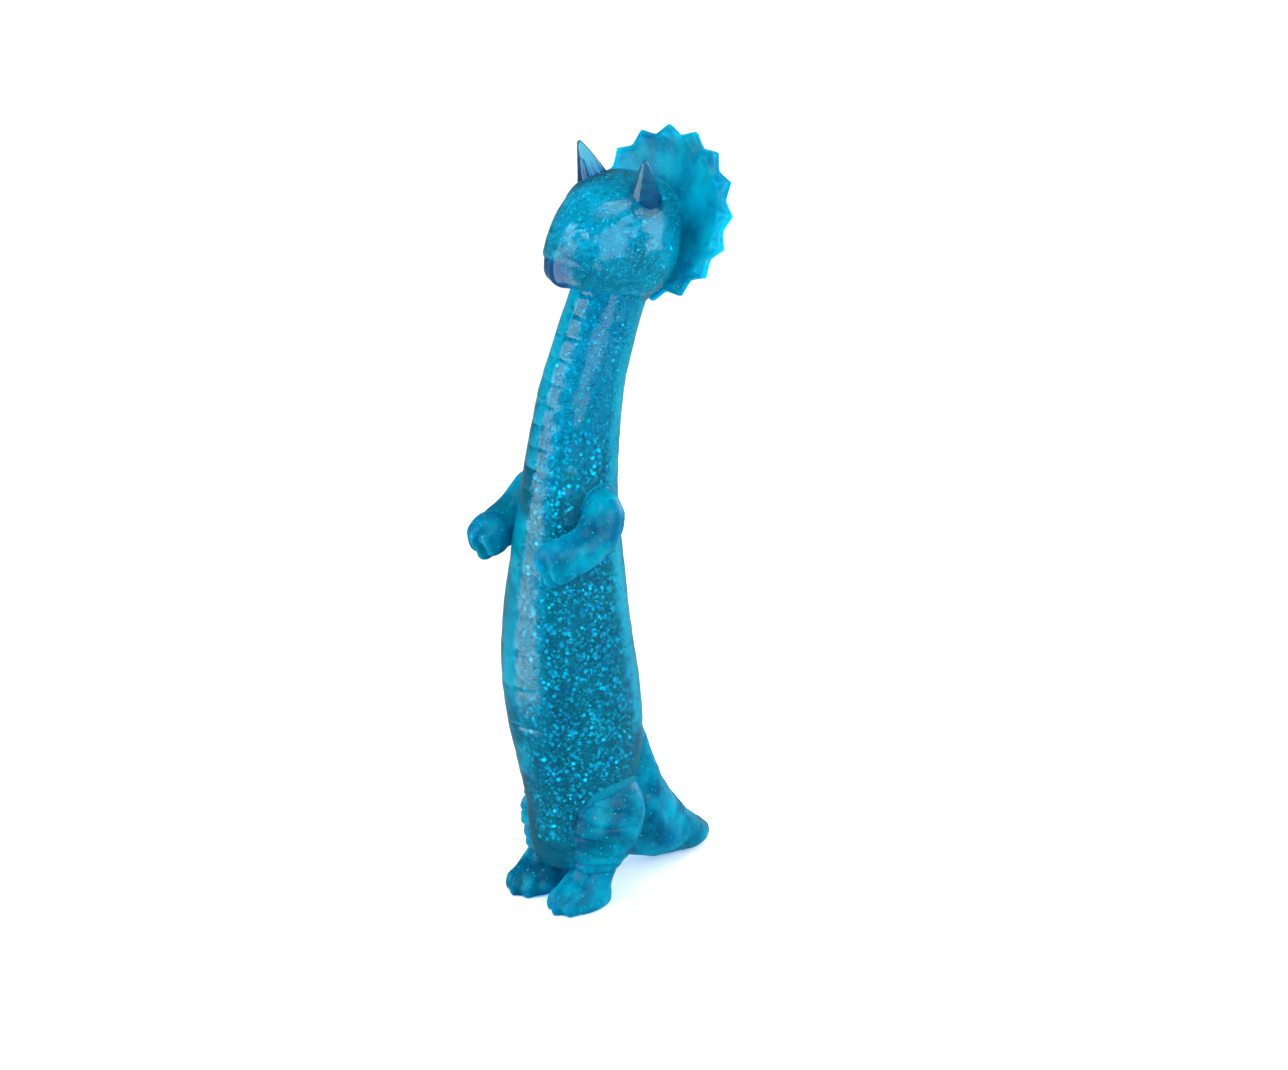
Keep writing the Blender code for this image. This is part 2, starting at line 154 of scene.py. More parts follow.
FRILL_CENTRE = np.array((0.0, 29.8, 160.5))
FRILL_TILT = math.radians(20)
HORN_BASE = np.array((8.3, 16.9, 168.6))
HORN_TIP = np.array((10.9, 14.5, 178.0))
# share of the way from base to tip, radius
HORN_TAPER = [
    (-0.25, 4.3), (-0.1, 4.15), (0.0, 3.95), (0.12, 3.55), (0.25, 3.12), (0.4, 2.62),
    (0.55, 2.12), (0.7, 1.6), (0.83, 1.12), (0.93, 0.72), (0.985, 0.42), (1.005, 0.16),
]

# centre line of the arm: across, along, up, half thickness across, half thickness down
ARM = [
    (5.6, 2.2, 97.8, 5.6, 6.6),
    (8.8, 2.2, 97.5, 5.4, 6.4),
    (11.6, 0.9, 96.3, 5.0, 6.0),
    (12.7, -2.2, 93.7, 4.7, 5.3),
    (12.8, -5.9, 91.8, 4.5, 5.0),
    (12.2, -9.7, 90.8, 4.6, 5.2),
    (11.6, -12.9, 90.1, 4.6, 5.3),
    (11.2, -15.4, 89.4, 3.8, 4.8),
    (11.0, -17.0, 88.9, 2.1, 3.1),
    (10.9, -17.5, 88.6, 0.2, 0.3),
]
# height, centre in X and Y, half width, half length of a leg
LEG = [
    (0.0, 7.2, -2.0, 4.2, 6.6),
    (0.35, 7.2, -2.0, 5.2, 7.7),
    (2.2, 7.3, -2.2, 5.7, 8.2),
    (5.0, 7.4, -1.2, 5.3, 7.2),
    (8.6, 7.6, 1.6, 5.0, 5.9),
    (12.6, 8.2, 3.8, 6.1, 8.0),
    (18.0, 8.7, 4.9, 6.8, 9.6),
    (22.6, 8.5, 5.5, 6.5, 9.7),
    (26.6, 7.8, 5.8, 5.7, 8.8),
    (29.4, 6.9, 5.8, 4.2, 6.6),
    (30.8, 6.4, 5.7, 2.2, 3.4),
    (31.4, 6.2, 5.6, 0.2, 0.3),
]
# distance back, underside, top, half width of the tail
TAIL = [
    (11.0, 11.6, 30.0, 5.0),
    (13.0, 8.8, 36.0, 6.8),
    (16.0, 6.0, 40.4, 8.0),
    (18.4, 4.6, 42.4, 8.4),
    (20.8, 3.5, 39.2, 8.6),
    (25.0, 2.2, 28.2, 7.8),
    (30.0, 1.1, 20.4, 6.6),
    (35.0, 0.4, 13.8, 5.4),
    (39.5, 0.0, 9.2, 4.2),
    (43.2, 0.4, 6.2, 2.7),
    (45.0, 1.4, 4.6, 1.3),
    (45.5, 2.6, 3.4, 0.1),
]
TAIL_ROUNDS = 44.4  # where the tail's tip starts to round off
PLUG_BACK = 3.6  # the filling hole's centre, along Y
PLUG_HOLE = 2.3

AROUND = 112  # points round the trunk
SHARP_EDGE = math.radians(55)  # edges that turn more than this aren't smoothed over


# ---------------------------------------------------------------- curves and shapes
def world(points):
    """Table millimetres to the model's metres."""
    return (np.asarray(points, float) - ORIGIN) * MM


def ease(t):
    t = np.clip(t, 0.0, 1.0)
    return t * t * (3 - 2 * t)


def bump(t):
    """1 at 0, falling smoothly to 0 at 1 and beyond."""
    return 1 - ease(np.abs(t))


def through(rows):
    """Smooth curve through a table's stations, read by the first column."""
    table = np.array(rows, float)
    first, last = table[:, 0], len(rows) - 2

    def read(at):
        at = np.atleast_1d(np.asarray(at, float))
        k = np.clip(np.searchsorted(first, at) - 1, 0, last)
        a, b = table[k], table[k + 1]
        before, after = table[np.maximum(k - 1, 0)], table[np.minimum(k + 2, last + 1)]
        span = (b[:, 0] - a[:, 0])[:, None]
        t = (at - a[:, 0])[:, None] / span
        left = (b - before) / (b[:, :1] - before[:, :1]) * span
        right = (after - a) / (after[:, :1] - a[:, :1]) * span
        left = np.where((k == 0)[:, None], b - a, left)
        right = np.where((k == last)[:, None], b - a, right)
        t2, t3 = t * t, t * t * t
        found = (2 * t3 - 3 * t2 + 1) * a + (t3 - 2 * t2 + t) * left
        return (found + (3 * t2 - 2 * t3) * b + (t3 - t2) * right)[:, 1:]

    return read


trunk_at, skin_at = through(TRUNK), through(SKIN)
head_at, gel_at = through(HEAD), through(HEAD_GEL)
leg_at, tail_at = through(LEG), through(TAIL)


def lean(height):
    """Angle by which the neck leans back; the belly stands upright."""
    height = np.atleast_1d(height)
    rise = (trunk_at(height + 1)[:, 0] - trunk_at(height - 1)[:, 0]) / 2
    return np.arctan(rise) * ease((height - 94) / 10)


def turns(count):
    return TURN * np.arange(count) / count


def trunk(heights, turn, grow=0.0):
    """Rings of the trunk: (heights, turns, 3). Turn 0 is the front; grow moves the skin out."""
    heights = np.asarray(heights, float)
    centre, wide, deep = (c[:, None] for c in trunk_at(heights).T)
    slope = lean(heights)[:, None]
    turn = np.asarray(turn)[None, :]
    x = (wide + grow) * np.sin(turn)
    d = -(deep * np.cos(slope) + grow) * np.cos(turn)
    return np.stack([x, centre + d * np.cos(slope), heights[:, None] - d * np.sin(slope)], -1)


HEAD_START = np.array((0.0, trunk_at(NECK_TOP)[0, 0], NECK_TOP))
NECK_LEAN = float(lean(NECK_TOP)[0])
HEAD_UP = np.array((0.0, math.sin(HEAD_TILT), math.cos(HEAD_TILT)))
HEAD_AHEAD = np.array((0.0, -math.cos(HEAD_TILT), math.sin(HEAD_TILT)))


def skull(read, at, turn, grow=0.0):
    """Rings of the head or of its gel, from the neck's end to the crown."""
    up, back, front, wide = (c[:, None] for c in read(at).T)
    front, back = front + grow, back - grow
    wide = wide + grow
    tilt = HEAD_TILT + (NECK_LEAN - HEAD_TILT) * np.maximum(0.0, 1 - up)
    turn = np.asarray(turn)[None, :]
    middle, half = (front + back) / 2, (front - back) / 2
    egg = 1 - 0.15 * np.cos(turn) * np.clip(up / 5, 0, 1)
    f = middle + half * np.cos(turn)
    x = wide * np.sin(turn) * egg
    y = HEAD_START[1] - np.cos(tilt) * f + HEAD_UP[1] * up
    z = HEAD_START[2] + np.sin(tilt) * f + HEAD_UP[2] * up
    return np.stack([x, y, z + 0 * x], -1)


def loft(name, rings, looks, look_of=None, cyclic=False):
    """Closed skin through rings of equal length; ends that don't join are closed by fans."""
    rings = np.asarray(rings, float)
    rows, count = rings.shape[:2]
    points = rings.reshape(-1, 3)
    grid = np.arange(rows * count).reshape(rows, count)
    upper = np.roll(grid, -1, axis=0) if cyclic else grid[1:]
    lower = grid if cyclic else grid[:-1]
    quads = [lower, np.roll(lower, -1, axis=1), np.roll(upper, -1, axis=1), upper]
    quads = np.stack(quads, -1).reshape(-1, 4)
    slots = np.zeros((len(lower), count), int)
    if look_of is not None:
        slots += np.asarray(look_of)[:, None]
    faces = [tuple(int(v) for v in q) for q in quads]
    slots = list(slots.reshape(-1))
    if not cyclic:
        ends = np.stack([points[grid[0]].mean(0), points[grid[-1]].mean(0)])
        points = np.concatenate([points, ends])
        low, high = rows * count, rows * count + 1
        for k in range(count):
            n = (k + 1) % count
            faces.append((low, int(grid[0][n]), int(grid[0][k])))
            faces.append((high, int(grid[-1][k]), int(grid[-1][n])))
            slots += [int(slots[0]), int(slots[len(lower) * count - 1])]
    return solid(name, points, faces, looks, slots)


def solid(name, points, faces, looks, slots):
    """Mesh object from table points, with its faces turned outwards."""
    mesh = bpy.data.meshes.new(name)
    points = world(points)
    mesh.from_pydata([tuple(p) for p in points], [], faces)
    for finish in looks:
        mesh.materials.append(finish)
    mesh.polygons.foreach_set("material_index", np.array(slots, np.int32))
    mesh.polygons.foreach_set("use_smooth", np.full(len(faces), True))
    bm = bmesh.new()
    bm.from_mesh(mesh)
    if bm.calc_volume(signed=True) < 0:
        bmesh.ops.reverse_faces(bm, faces=bm.faces)
    bm.to_mesh(mesh)
    bm.free()
    mesh.update()
    # each point keeps its place at rest, so that tints stay put when the toy bends
    kept = mesh.attributes.new("place", "FLOAT_VECTOR", "POINT")
    kept.data.foreach_set("vector", np.asarray(points, np.float32).reshape(-1))
    mesh.set_sharp_from_angle(angle=SHARP_EDGE)
    obj = bpy.data.objects.new(name, mesh)
    bpy.context.scene.collection.objects.link(obj)
    return obj


def normals_of(rings):
    """Outward unit normals of a grid of rings."""
    along = np.gradient(rings, axis=0)
    around = np.roll(rings, -1, axis=1) - np.roll(rings, 1, axis=1)
    found = np.cross(around, along)
    found /= np.linalg.norm(found, axis=-1, keepdims=True) + 1e-9
    outward = rings - rings.mean(axis=1, keepdims=True)
    flip = np.sign((found * outward).sum(-1).sum())
    return found * (flip if flip else 1)


def ripple(points, size, seed):
    """Soft hand-made unevenness, between -1 and 1, as a sum of slanted waves."""
    rng = np.random.default_rng(seed)
    total = np.zeros(points.shape[:-1])
    for k in range(7):
        way = rng.normal(size=3)
        way *= TURN / (size * rng.uniform(0.7, 1.6)) / np.linalg.norm(way)
        total += np.sin(points @ way + rng.uniform(0, TURN))
    return total / 3.5


# ---------------------------------------------------------------- node helpers
COLOUR, FLOAT, VECTOR, WHOLE = (
    "NodeSocketColor", "NodeSocketFloat", "NodeSocketVector", "NodeSocketInt")


def linear(red, green, blue):
    """Linear colour of an 8-bit display colour."""
    shares = (value / 255 for value in (red, green, blue))
    return tuple(
        c / 12.92 if c <= 0.04045 else ((c + 0.055) / 1.055) ** 2.4 for c in shares) + (1.0,)


def feed(tree, socket, value):
    """Links an input to a socket, or gives it a plain value."""
    if isinstance(value, bpy.types.NodeSocket):
        tree.links.new(value, socket)
    else:
        socket.default_value = value


def wire(tree, node, **inputs):
    """Feeds a node's inputs by name, with underscores for the spaces."""
    for key, value in inputs.items():
        feed(tree, node.inputs[key.replace("_", " ")], value)


def put(tree, kind, label="", *values, **inputs):
    """Adds a node. Values feed its first inputs in order, set_X sets its property X."""
    node = tree.nodes.new(kind)
    node.label = label
    for key in [key for key in inputs if key.startswith("set_")]:
        setattr(node, key[4:], inputs.pop(key))
    for socket, value in zip(node.inputs, values):
        feed(tree, socket, value)
    wire(tree, node, **inputs)
    return node


def put_group(tree, what, **inputs):
    return put(tree, "ShaderNodeGroup", what.name, set_node_tree=what, **inputs).outputs


def maths(tree, operation, label, *values):
    return put(tree, "ShaderNodeMath", label, *values, set_operation=operation).outputs[0]


def vectors(tree, operation, label, *values, **inputs):
    """Vector maths, which gives a number for a distance or a dot product."""
    node = put(tree, "ShaderNodeVectorMath", label, *values, set_operation=operation, **inputs)
    return node.outputs["Value" if operation in ("DISTANCE", "DOT_PRODUCT") else "Vector"]


def remap(tree, label, value, span=(0.0, 1.0), to=(0.0, 1.0), smooth=False):
    """Moves a value from one span to another, held at its ends."""
    way = "SMOOTHSTEP" if smooth else "LINEAR"
    return put(tree, "ShaderNodeMapRange", label, set_interpolation_type=way, Value=value,
               From_Min=span[0], From_Max=span[1], To_Min=to[0], To_Max=to[1]).outputs[0]


def noise(tree, label, place, scale, detail=2.0, rough=0.5):
    return put(tree, "ShaderNodeTexNoise", label, Vector=place, Scale=scale, Detail=detail,
               Roughness=rough).outputs["Fac"]


def mixed(tree, factor, first, second, kind="MIX"):
    """Mix of two colours."""
    node = put(tree, "ShaderNodeMix", set_data_type="RGBA", set_blend_type=kind)
    for index, value in ((0, factor), (6, first), (7, second)):
        feed(tree, node.inputs[index], value)
    return node.outputs[2]


def group(name, ins, outs):
    """Empty shader node group: its tree, what it is given, and its output node."""
    tree = bpy.data.node_groups.new(name, "ShaderNodeTree")
    for label, kind, value in ins:
        made = tree.interface.new_socket(label, in_out="INPUT", socket_type=kind)
        if value is not None:
            made.default_value = value
    for label, kind in outs:
        tree.interface.new_socket(label, in_out="OUTPUT", socket_type=kind)
    given = tree.nodes.new("NodeGroupInput").outputs
    return tree, given, tree.nodes.new("NodeGroupOutput")


# ---------------------------------------------------------------- effects that looks share
def rubber_cloud_group():
    """Cloudy tint of cast rubber: soft colour drift, faint frost and a skin texture."""
    tree, given, end = group(
        "Rubber Cloud",
        [("Place", VECTOR, None), ("Deep", COLOUR, None), ("Pale", COLOUR, None),
         ("Cloud Size", FLOAT, 0.012), ("Roughness", FLOAT, 0.12), ("Frost", FLOAT, 0.1),
         ("Relief", FLOAT, 0.2)],
        [("Color", COLOUR), ("Roughness", FLOAT), ("Height", FLOAT)],
    )
    place = given["Place"]
    scale = maths(tree, "DIVIDE", "Cloud scale", 1.0, given["Cloud Size"])
    cloud = noise(tree, "Cloud", place, scale, 3.0, 0.55)
    cloud = remap(tree, "Cloud spread", cloud, (0.34, 0.66))
    tint = mixed(tree, cloud, given["Deep"], given["Pale"])
    grain = noise(tree, "Skin grain", place, 900.0, 3.0, 0.6)
    patches = noise(tree, "Frost patches", place, 160.0)
    frost = remap(tree, "Frost share", patches, (0.42, 0.68))
    rough = maths(tree, "MULTIPLY_ADD", "Frosted roughness", frost, given["Frost"],
                  given["Roughness"])
    height = maths(tree, "MULTIPLY", "Grain height", grain, given["Relief"])
    wire(tree, end, Color=tint, Roughness=rough, Height=height)
    return tree


def fleck_group():
    """Fine glitter held in the gel: each fleck has its own tint and its own tilt."""
    tree, given, end = group(
        "Gel Flecks",
        [("Place", VECTOR, None), ("Gel", COLOUR, None), ("Fleck", COLOUR, None),
         ("Odd Fleck", COLOUR, None), ("Fleck Size", FLOAT, 0.0006), ("Share", FLOAT, 0.4),
         ("Tilt", FLOAT, 0.5)],
        [("Color", COLOUR), ("Mask", FLOAT), ("Normal", VECTOR), ("Roughness", FLOAT)],
    )
    place = given["Place"]
    scale = maths(tree, "DIVIDE", "Fleck scale", 1.0, given["Fleck Size"])
    cells = put(tree, "ShaderNodeTexVoronoi", "Fleck cells", Vector=place, Scale=scale).outputs
    drawn = put(tree, "ShaderNodeSeparateColor", "Each fleck", Color=cells["Color"]).outputs
    kept = maths(tree, "LESS_THAN", "Which are flecks", drawn[0], given["Share"])
    inside = remap(tree, "Fleck edge", cells["Distance"], (0.46, 0.36))
    mask = maths(tree, "MULTIPLY", "Fleck mask", kept, inside)
    odd = maths(tree, "GREATER_THAN", "Odd ones", drawn[1], 0.97)
    tint = mixed(tree, odd, given["Fleck"], given["Odd Fleck"])
    shade = remap(tree, "Fleck shade", drawn[1], to=(0.35, 1.0))
    tint = mixed(tree, 1.0, tint, shade, "MULTIPLY")
    drift = noise(tree, "Gel drift", place, 95.0)
    drift = remap(tree, "Gel drift spread", drift, (0.35, 0.65), (0.6, 1.1))
    settled = mixed(tree, 1.0, given["Gel"], drift, "MULTIPLY")
    colour = mixed(tree, mask, settled, tint)
    surface = tree.nodes.new("ShaderNodeNewGeometry").outputs["Normal"]
    amount = maths(tree, "MULTIPLY", "Tilt of a fleck", mask, given["Tilt"])
    turned = vectors(tree, "SUBTRACT", "Random tilt", cells["Color"], (0.5, 0.5, 0.5))
    turned = vectors(tree, "SCALE", "Scaled tilt", turned, Scale=amount)
    normal = vectors(tree, "ADD", "Tilted", surface, turned)
    normal = vectors(tree, "NORMALIZE", "Unit normal", normal)
    rough = remap(tree, "Fleck gloss", mask, to=(0.45, 0.22))
    wire(tree, end, Color=colour, Mask=mask, Normal=normal, Roughness=rough)
    return tree


def belly_highlight_group():
    """Painted highlight: a paler band down the front of the gel behind the belly plates, broken
    into patches, and rising and falling at the plates' pitch up the neck.
    """
    tree, given, end = group(
        "Belly Painted Highlight",
        [("Place", VECTOR, None), ("Color", COLOUR, None), ("Strip", COLOUR, None),
         ("Strength", FLOAT, 0.8)],
        [("Color", COLOUR)],
    )
    surface = tree.nodes.new("ShaderNodeNewGeometry").outputs["True Normal"]
    facing = put(tree, "ShaderNodeSeparateXYZ", "Facing", Vector=surface).outputs["Y"]
    height = put(tree, "ShaderNodeSeparateXYZ", "Where", Vector=given["Place"]).outputs["Z"]
    # painted highlight where the gel faces the front, above the legs, rising and falling with the
    # plates on the neck
    front = remap(tree, "Faces the front", facing, (-0.78, -0.95), smooth=True)
    above = remap(tree, "Above the legs", height, (0.034, 0.05), smooth=True)
    neck = remap(tree, "On the neck", height, (0.088, 0.098), smooth=True)
    wave = maths(tree, "MULTIPLY", "Plate pitch", height, TURN / (NECK_PLATE * MM))
    wave = maths(tree, "SINE", "Plates", wave)
    wave = maths(tree, "MULTIPLY", "Only on the neck", wave, neck)
    wave = maths(tree, "MULTIPLY_ADD", "Painted plate highlight", wave, 0.35, 0.65)
    patch = noise(tree, "Broken up", given["Place"], 110.0)
    patch = remap(tree, "Patches", patch, (0.36, 0.6), (0.35, 1.0))
    share = given["Strength"]
    for factor in (front, above, wave, patch):
        share = maths(tree, "MULTIPLY", "Strip share", share, factor)
    wire(tree, end, Color=mixed(tree, share, given["Color"], given["Strip"]))
    return tree


def shade_spot_group():
    """Darkens the rubber round one point with painted shade, such as at the beak's tip and at the
    roots of the horns.
    """
    tree, given, end = group(
        "Painted Shade Spot",
        [("Place", VECTOR, None), ("Color", COLOUR, None), ("Spot", COLOUR, None),
         ("Centre", VECTOR, None), ("Radius", FLOAT, 0.003)],
        [("Color", COLOUR)],
    )
    away = vectors(tree, "DISTANCE", "Away", given["Place"], given["Centre"])
    ratio = maths(tree, "DIVIDE", "In radii", away, given["Radius"])
    share = remap(tree, "Spot share", ratio, (1.45, 0.6), smooth=True)
    wire(tree, end, Color=mixed(tree, share, given["Color"], given["Spot"]))
    return tree


CLOUD, FLECKS = rubber_cloud_group(), fleck_group()
HIGHLIGHT_BAND, SHADE_SPOT = belly_highlight_group(), shade_spot_group()


# ---------------------------------------------------------------- looks
SKIN_GRAIN = 0.0001  # depth of the rubber's fine texture, metres
GLOW_DEPTH = 0.004  # how far light spreads inside the rubber, metres


def look(name, moulded=True):
    """New material: its tree, its Principled node, its output and its places at rest."""
    made = bpy.data.materials.new(name)
    made.use_nodes = True
    tree = made.node_tree
    if moulded:
        kept = put(tree, "ShaderNodeAttribute", "Place at rest", set_attribute_name="place")
        place = kept.outputs["Vector"]
    else:
        place = tree.nodes.new("ShaderNodeTexCoord").outputs["Object"]
    return made, tree, tree.nodes["Principled BSDF"], tree.nodes["Material Output"], place


def lets_lamps_in(tree, shader, output, tint):
    """Shadow rays pass through the rubber with its tint, so that lamps reach the gel."""
    path = tree.nodes.new("ShaderNodeLightPath")
    clear = put(tree, "ShaderNodeBsdfTransparent", Color=tint)
    mix = tree.nodes.new("ShaderNodeMixShader")
    tree.links.new(path.outputs["Is Shadow Ray"], mix.inputs[0])
    tree.links.new(shader.outputs[0], mix.inputs[1])
    tree.links.new(clear.outputs[0], mix.inputs[2])
    tree.links.new(mix.outputs[0], output.inputs["Surface"])


def clear_rubber(name, deep, pale, rough, frost, ior, tint, clear, shade_spots=(), flecks=0.0,
                 moulded=True):
    """See-through rubber. Tint colours the lamps' light, clear is the share that it lets pass."""
    made, tree, shader, output, place = look(name, moulded)
    cloud = put_group(tree, CLOUD, Place=place, Deep=deep, Pale=pale, Cloud_Size=0.014,
                      Roughness=rough, Frost=frost, Relief=0.2)
    skin = put(tree, "ShaderNodeBump", "Skin texture", Height=cloud["Height"], Strength=0.05,
               Distance=SKIN_GRAIN)
    colour = cloud["Color"]
    if flecks:
        colour = put_group(
            tree, FLECKS, Place=place, Gel=colour, Fleck=linear(60, 215, 232),
            Odd_Fleck=linear(0, 90, 150), Fleck_Size=0.00042, Share=flecks, Tilt=0.0)["Color"]
    # painted shade round given points
    for centre, radius, tone in shade_spots:
        colour = put_group(tree, SHADE_SPOT, Place=place, Color=colour, Spot=tone, Centre=centre,
                           Radius=radius)["Color"]
    wire(tree, shader, Base_Color=colour, Roughness=cloud["Roughness"], Normal=skin.outputs[0],
         Transmission_Weight=clear, IOR=ior, Subsurface_Weight=1.0,
         Subsurface_Radius=(0.1, 0.8, 1.0), Subsurface_Scale=GLOW_DEPTH)
    lets_lamps_in(tree, shader, output, tint)
    return made


def limb_rubber(name, deep, pale, moulded=True):
    """Solid rubber of the limbs, with a few flecks cast in."""
    made, tree, shader, output, place = look(name, moulded)
    cloud = put_group(tree, CLOUD, Place=place, Deep=deep, Pale=pale, Cloud_Size=0.0055,
                      Roughness=0.26, Frost=0.12, Relief=0.4)
    skin = put(tree, "ShaderNodeBump", "Skin texture", Height=cloud["Height"], Strength=0.3,
               Distance=SKIN_GRAIN)
    flecks = put_group(
        tree, FLECKS, Place=place, Gel=cloud["Color"], Fleck=linear(0, 156, 182),
        Odd_Fleck=linear(150, 90, 50), Fleck_Size=0.0005, Share=0.12, Tilt=0.0)
    wire(tree, shader, Base_Color=flecks["Color"], Roughness=cloud["Roughness"],
         Normal=skin.outputs[0], Subsurface_Weight=1.0, Subsurface_Radius=(0.15, 0.75, 1.0),
         Subsurface_Scale=GLOW_DEPTH, Transmission_Weight=0.0, IOR=1.27,
         Specular_IOR_Level=0.2)
    lets_lamps_in(tree, shader, output, linear(70, 190, 225))
    return made


def gel_look(name, gel, fleck, odd):
    """Dark gel full of flecks of two sizes, with a painted highlight down the front and on the
    neck's plates, and paler up the neck.
    """
    made, tree, shader, output, place = look(name)
    flecks = put_group(tree, FLECKS, Place=place, Gel=gel, Fleck=fleck, Odd_Fleck=odd,
                       Fleck_Size=0.0007, Share=0.42, Tilt=1.1)
    fine = put_group(tree, FLECKS, Place=place, Gel=flecks["Color"], Fleck=fleck,
                     Odd_Fleck=odd, Fleck_Size=0.00035, Share=0.25, Tilt=1.3)
    # painted highlight down the front of the gel and on the neck's plates
    painted_highlight = put_group(tree, HIGHLIGHT_BAND, Place=place, Color=fine["Color"],
                      Strip=linear(150, 205, 214), Strength=0.9)
    height = put(tree, "ShaderNodeSeparateXYZ", "Where", Vector=place).outputs["Z"]
    up = remap(tree, "Paler up the neck", height, (0.092, 0.118), (0.0, 0.5), smooth=True)
    paler = mixed(tree, up, painted_highlight["Color"], linear(0, 176, 200))
    metal = maths(tree, "MAXIMUM", "Fleck metal", flecks["Mask"], fine["Mask"])
    metal = maths(tree, "MULTIPLY", "Part metal", metal, 0.85)
    wire(tree, shader, Base_Color=paler, Metallic=metal, Roughness=flecks["Roughness"],
         Normal=flecks["Normal"], Subsurface_Weight=0.0, IOR=1.2)
    return made


def flake_look(name, stops):
    """Cut foil flakes; each has its own tint, from the number it was given when scattered."""
    made, tree, shader, output, place = look(name, moulded=False)
    own = put(tree, "ShaderNodeAttribute", "Own number", set_attribute_name="glint")
    ramp = put(tree, "ShaderNodeValToRGB", "Foil tints", Fac=own.outputs["Fac"])
    while len(ramp.color_ramp.elements) < len(stops):
        ramp.color_ramp.elements.new(0.5)
    ramp.color_ramp.interpolation = "CONSTANT"
    for element, (at, colour) in zip(ramp.color_ramp.elements, stops):
        element.position, element.color = at, colour
    wear = noise(tree, "Foil wear", place, 2500.0)
    rough = remap(tree, "Foil gloss", wear, to=(0.12, 0.38))
    wire(tree, shader, Base_Color=ramp.outputs[0], Roughness=rough, Metallic=0.6)
    return made


def inner_face_look():
    """The skin's inside, where the gel wets the rubber and nothing shines."""
    made, tree, shader, output, place = look("Wetted inner face")
    tree.nodes.remove(shader)
    clear = put(tree, "ShaderNodeBsdfTransparent", Color=(1, 1, 1, 1))
    tree.links.new(clear.outputs[0], output.inputs["Surface"])
    return made


# painted shade: a dark blue put at the beak's tip and round the roots of the horns
SHADE_NAVY = linear(0, 84, 146)  # the beak's tip and the roots of the horns
BEAK_TIP = world(HEAD_START + HEAD_AHEAD * 17.2 + HEAD_UP * 3.6)
HORN_ROOTS = [world((side * 8.0, 17.6, 167.6)) for side in (1, -1)]
RUBBER_LIGHT = linear(130, 220, 240)  # what the skin makes of the lamps' light

CLEAR = clear_rubber(
    "Clear blue rubber", linear(0, 132, 162), linear(0, 152, 178), rough=0.13, frost=0.14,
    ior=1.28, tint=RUBBER_LIGHT, clear=0.84)
HEAD_CLEAR = clear_rubber(
    "Cloudy blue rubber", linear(0, 146, 174), linear(0, 170, 196), rough=0.12, frost=0.14,
    ior=1.28, tint=RUBBER_LIGHT, clear=0.8, shade_spots=[(BEAK_TIP, 0.0042, SHADE_NAVY)], flecks=0.42)
HORN = clear_rubber(
    "Pale clear rubber", linear(60, 150, 180), linear(100, 178, 198), rough=0.06, frost=0.1,
    ior=1.3, tint=linear(200, 235, 245), clear=0.96,
    shade_spots=[(root, 0.005, SHADE_NAVY) for root in HORN_ROOTS])
GLUE = clear_rubber(
    "Sealing glue", linear(90, 160, 180), linear(150, 205, 215), rough=0.1, frost=0.1,
    ior=1.4, tint=linear(220, 240, 245), clear=0.9, moulded=False)
LIMB = limb_rubber("Solid blue rubber", linear(0, 80, 116), linear(0, 118, 142))
FRILL = limb_rubber("Frill rubber", linear(0, 110, 150), linear(0, 144, 166))
PLUG = limb_rubber("Plug rubber", linear(0, 86, 120), linear(0, 124, 146), moulded=False)
GEL = gel_look("Glitter gel", linear(0, 72, 86), linear(20, 150, 170), linear(150, 120, 60))
HEAD_GEL_LOOK = gel_look(
    "Pale glitter gel", linear(0, 132, 152), linear(60, 200, 215), linear(120, 110, 60))
FLAKE = flake_look("Foil flakes", [
    (0.0, linear(0, 150, 180)), (0.3, linear(40, 215, 235)), (0.6, linear(150, 235, 245)),
    (0.86, linear(0, 90, 120)), (0.965, linear(60, 120, 230)), (0.985, linear(200, 120, 50))])
INNER = inner_face_look()


# ---------------------------------------------------------------- surface relief
def wrapped(turn):
    return (turn + math.pi) % TURN - math.pi


def scutes(heights, turn):
    """Belly plates down the front: a run of soft cushions parted by sharp little grooves."""
    z, a = heights[:, None], wrapped(turn)[None, :]
    small = ease((z - SMALL_PLATES_FROM) / 8)
    pitch = BELLY_PLATE * (1 - small) + NECK_PLATE * small
    arc = 1.1 * (1 - np.cos(a)) * (1 + small)
    # running count of plates up the front
    count = np.cumsum(np.gradient(heights) / pitch[:, 0])[:, None] - arc / pitch
    part = count - np.floor(count)
    plate = 1 - np.abs(2 * part - 1) ** 3.2
    groove = np.exp(-(((part + 0.5) % 1.0 - 0.5) / 0.055) ** 2)
    across = bump(a / (0.62 + 0.2 * small))
    fade = ease((z - PLATES_FROM) / 10)
    return across * fade * ((0.12 + 0.30 * small) * plate - (0.22 + 0.02 * small) * groove)


def skin_relief(heights, turn):
    points = trunk(heights, turn)
    uneven = 0.10 * ripple(points, 9.0, 3) + 0.05 * ripple(points, 4.0, 8)
    return scutes(heights, turn) + uneven


# ---------------------------------------------------------------- skin: body, neck, head
ROUND = turns(AROUND)
STEP = 0.4  # height between rings of the skin
GEL_GAP = 0.05  # between the gel and the skin's inner face


def heights_between(low, high, step):
    return np.linspace(low, high, max(2, int(round((high - low) / step)) + 1))


def skin_rings(heights):
    rings = trunk(heights, ROUND)
    return rings + normals_of(rings) * skin_relief(heights, ROUND)[..., None]


ALL = heights_between(UNDERSIDE + CORNER_RISE, NECK_TOP, STEP)
ALL = np.unique(np.concatenate([ALL, (LOW_CUT, HIGH_CUT)]))
RINGS = skin_rings(ALL)  # the whole outer skin up to the head


def inner_rings(heights):
    return trunk(heights, ROUND, -skin_at(heights))


def gel_rings(heights):
    return trunk(heights, ROUND, -skin_at(heights) - GEL_GAP)


